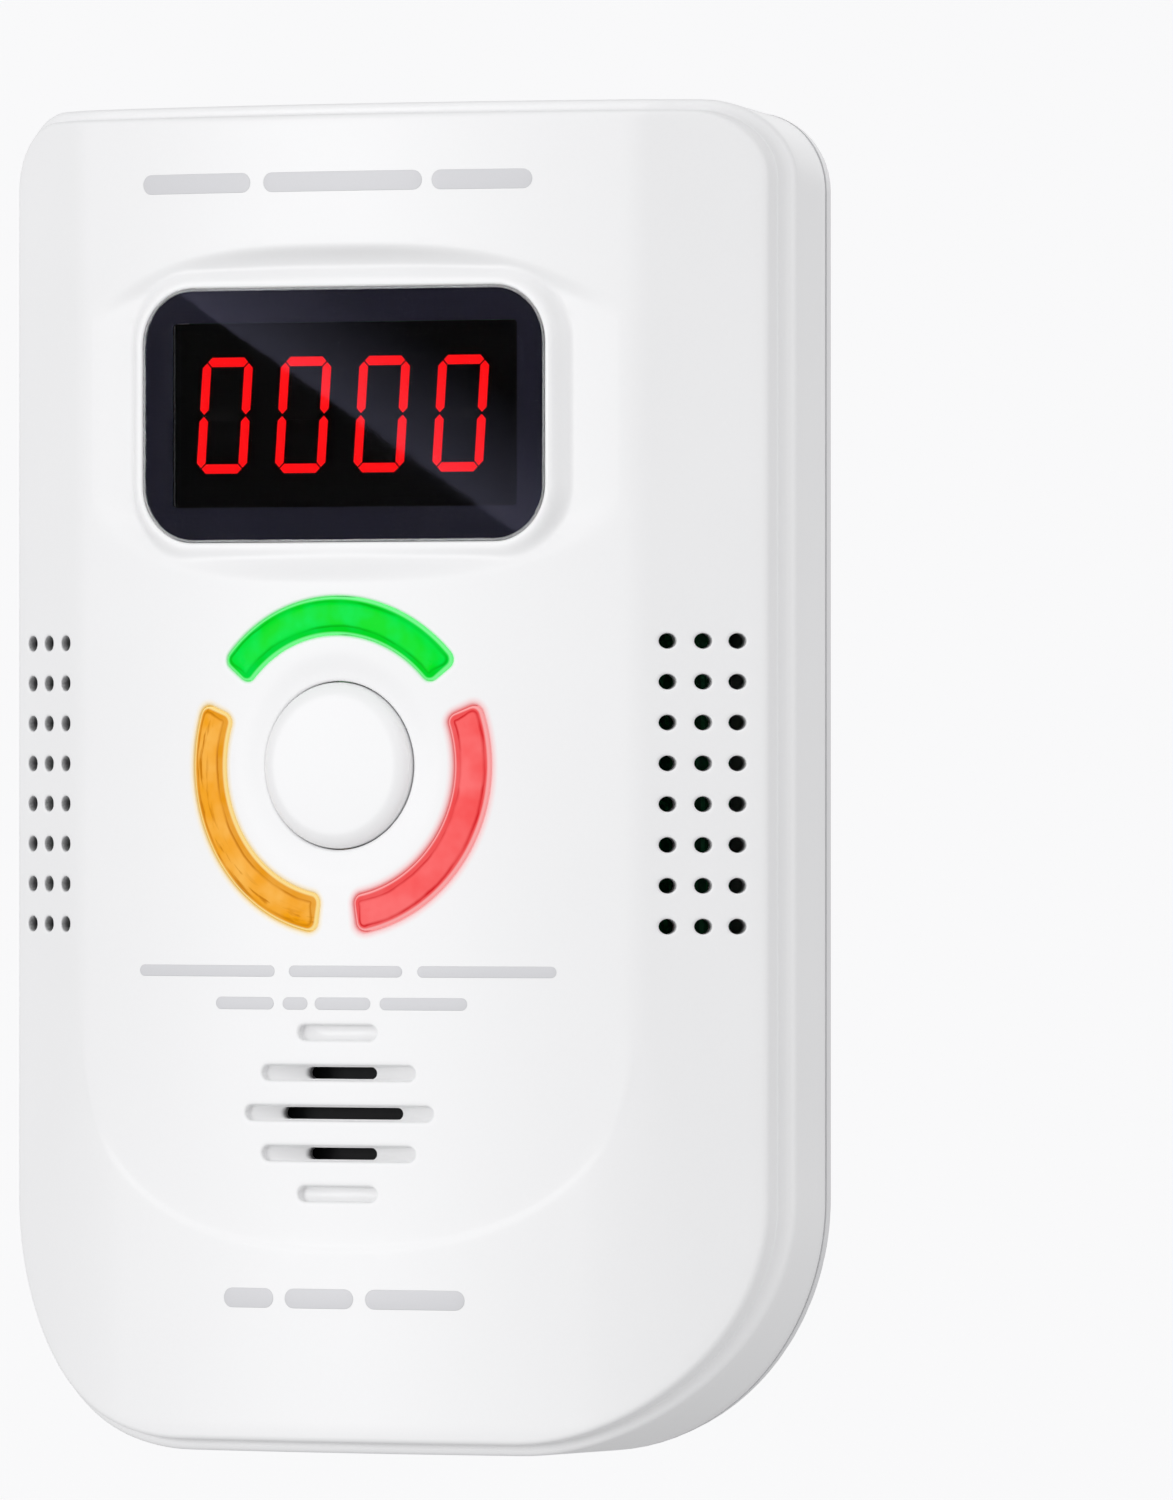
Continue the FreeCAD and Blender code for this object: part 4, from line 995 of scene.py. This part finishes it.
CAMERA_AZIMUTH = 29.0
CAMERA_DISTANCE = 1.735
CAMERA_RISE = 0.00019
AIM_RIGHT = 0.02405  # the point the camera looks at, from the middle of the front
AIM_UP = 0.00269
camera_data = bpy.data.cameras.new("camera")
camera_data.lens = 433.06
camera_data.sensor_width = 36.0
camera_data.clip_start = 0.05
camera_data.clip_end = 30.0
camera = bpy.data.objects.new("camera", camera_data)
bpy.context.scene.collection.objects.link(camera)
bpy.context.scene.camera = camera
camera.location = from_front(CAMERA_AZIMUTH, 0, CAMERA_DISTANCE, CENTRE) + Vector((0, 0, CAMERA_RISE))
turn = math.radians(CAMERA_AZIMUTH)
towards(camera, CENTRE + Vector((math.cos(turn), math.sin(turn), 0)) * AIM_RIGHT + Vector((0, 0, AIM_UP)))


def window_card(distance=1.0):
    """Dark card that the window mirrors. Its upper right is lit, and the light fades away from a diagonal."""
    pane = Vector((0, lens_lo.y, DISPLAY_Z * MM))
    seen = camera.location - pane
    ray = Vector((-seen.x, seen.y, -seen.z)).normalized()
    grow = (seen.length + distance) / seen.length
    half_w = WINDOW_HALF_W * 1.6 * MM * grow * math.cos(turn)
    half_h = WINDOW_HALF_H * 1.7 * MM * grow
    mesh = bpy.data.meshes.new("window_card")
    corners = [(-half_w, -half_h, 0), (half_w, -half_h, 0), (half_w, half_h, 0), (-half_w, half_h, 0)]
    mesh.from_pydata(corners, [], [(0, 1, 2, 3)])
    card = bpy.data.objects.new("window_card", mesh)
    bpy.context.scene.collection.objects.link(card)
    card.location = pane + ray * distance
    card.rotation_euler = (-ray).to_track_quat("-Z", "Y").to_euler()
    m = bpy.data.materials.new("window_card")
    m.use_nodes = True
    x, z, _ = node(m, "ShaderNodeSeparateXYZ", {0: node(m, "ShaderNodeTexCoord").outputs["Object"]}).outputs
    across = maths(m, "MULTIPLY", x, 1 / (MM * grow * math.cos(turn)))
    up = maths(m, "MULTIPLY", z, 1 / (MM * grow))
    slope, offset, reach = 0.613, 0.4, 11.0
    diagonal = maths(m, "SUBTRACT", maths(m, "MULTIPLY_ADD", across, slope, up), offset)
    above = maths(m, "DIVIDE", diagonal, math.hypot(1, slope))
    fade = maths(m, "POWER", spread(m, above, 0.0, reach, 1, 0), 1.5)
    shine = maths(m, "MULTIPLY", fade, maths(m, "GREATER_THAN", above, 0.0))
    p = principled(m)
    p.inputs["Base Color"].default_value = (0, 0, 0, 1)
    p.inputs["Specular IOR Level"].default_value = 0
    feed(m, mix(m, shine, (0, 0, 0), (0.34, 0.34, 0.5)), "Emission Color")
    p.inputs["Emission Strength"].default_value = 1.0
    mesh.materials.append(m)
    card.visible_camera = False
    card.visible_diffuse = False
    card.visible_shadow = False
    card.visible_transmission = True
    return card


window_card()

world = bpy.data.worlds.new("world")
world.use_nodes = True
world.node_tree.nodes["Background"].inputs[0].default_value = (0.586, 0.586, 0.592, 1)
world.node_tree.nodes["Background"].inputs[1].default_value = 1.0
bpy.context.scene.world = world
bpy.context.scene.view_settings.view_transform = "Standard"
floor_dish()
LIGHTS = (
    # name, azimuth, elevation, distance, size, strength
    ("front", 5, 22, 2.0, 1.4, 0.8),
    ("gloss", -29, 4, 1.6, 0.7, 5.9),
    ("top", 10, 75, 1.5, 1.2, 0.4),
    ("side", 80, 10, 1.8, 1.2, 1.5),
    ("back", 178, 25, 1.8, 1.4, 0.9),
)
for light in LIGHTS:
    softbox(*light)
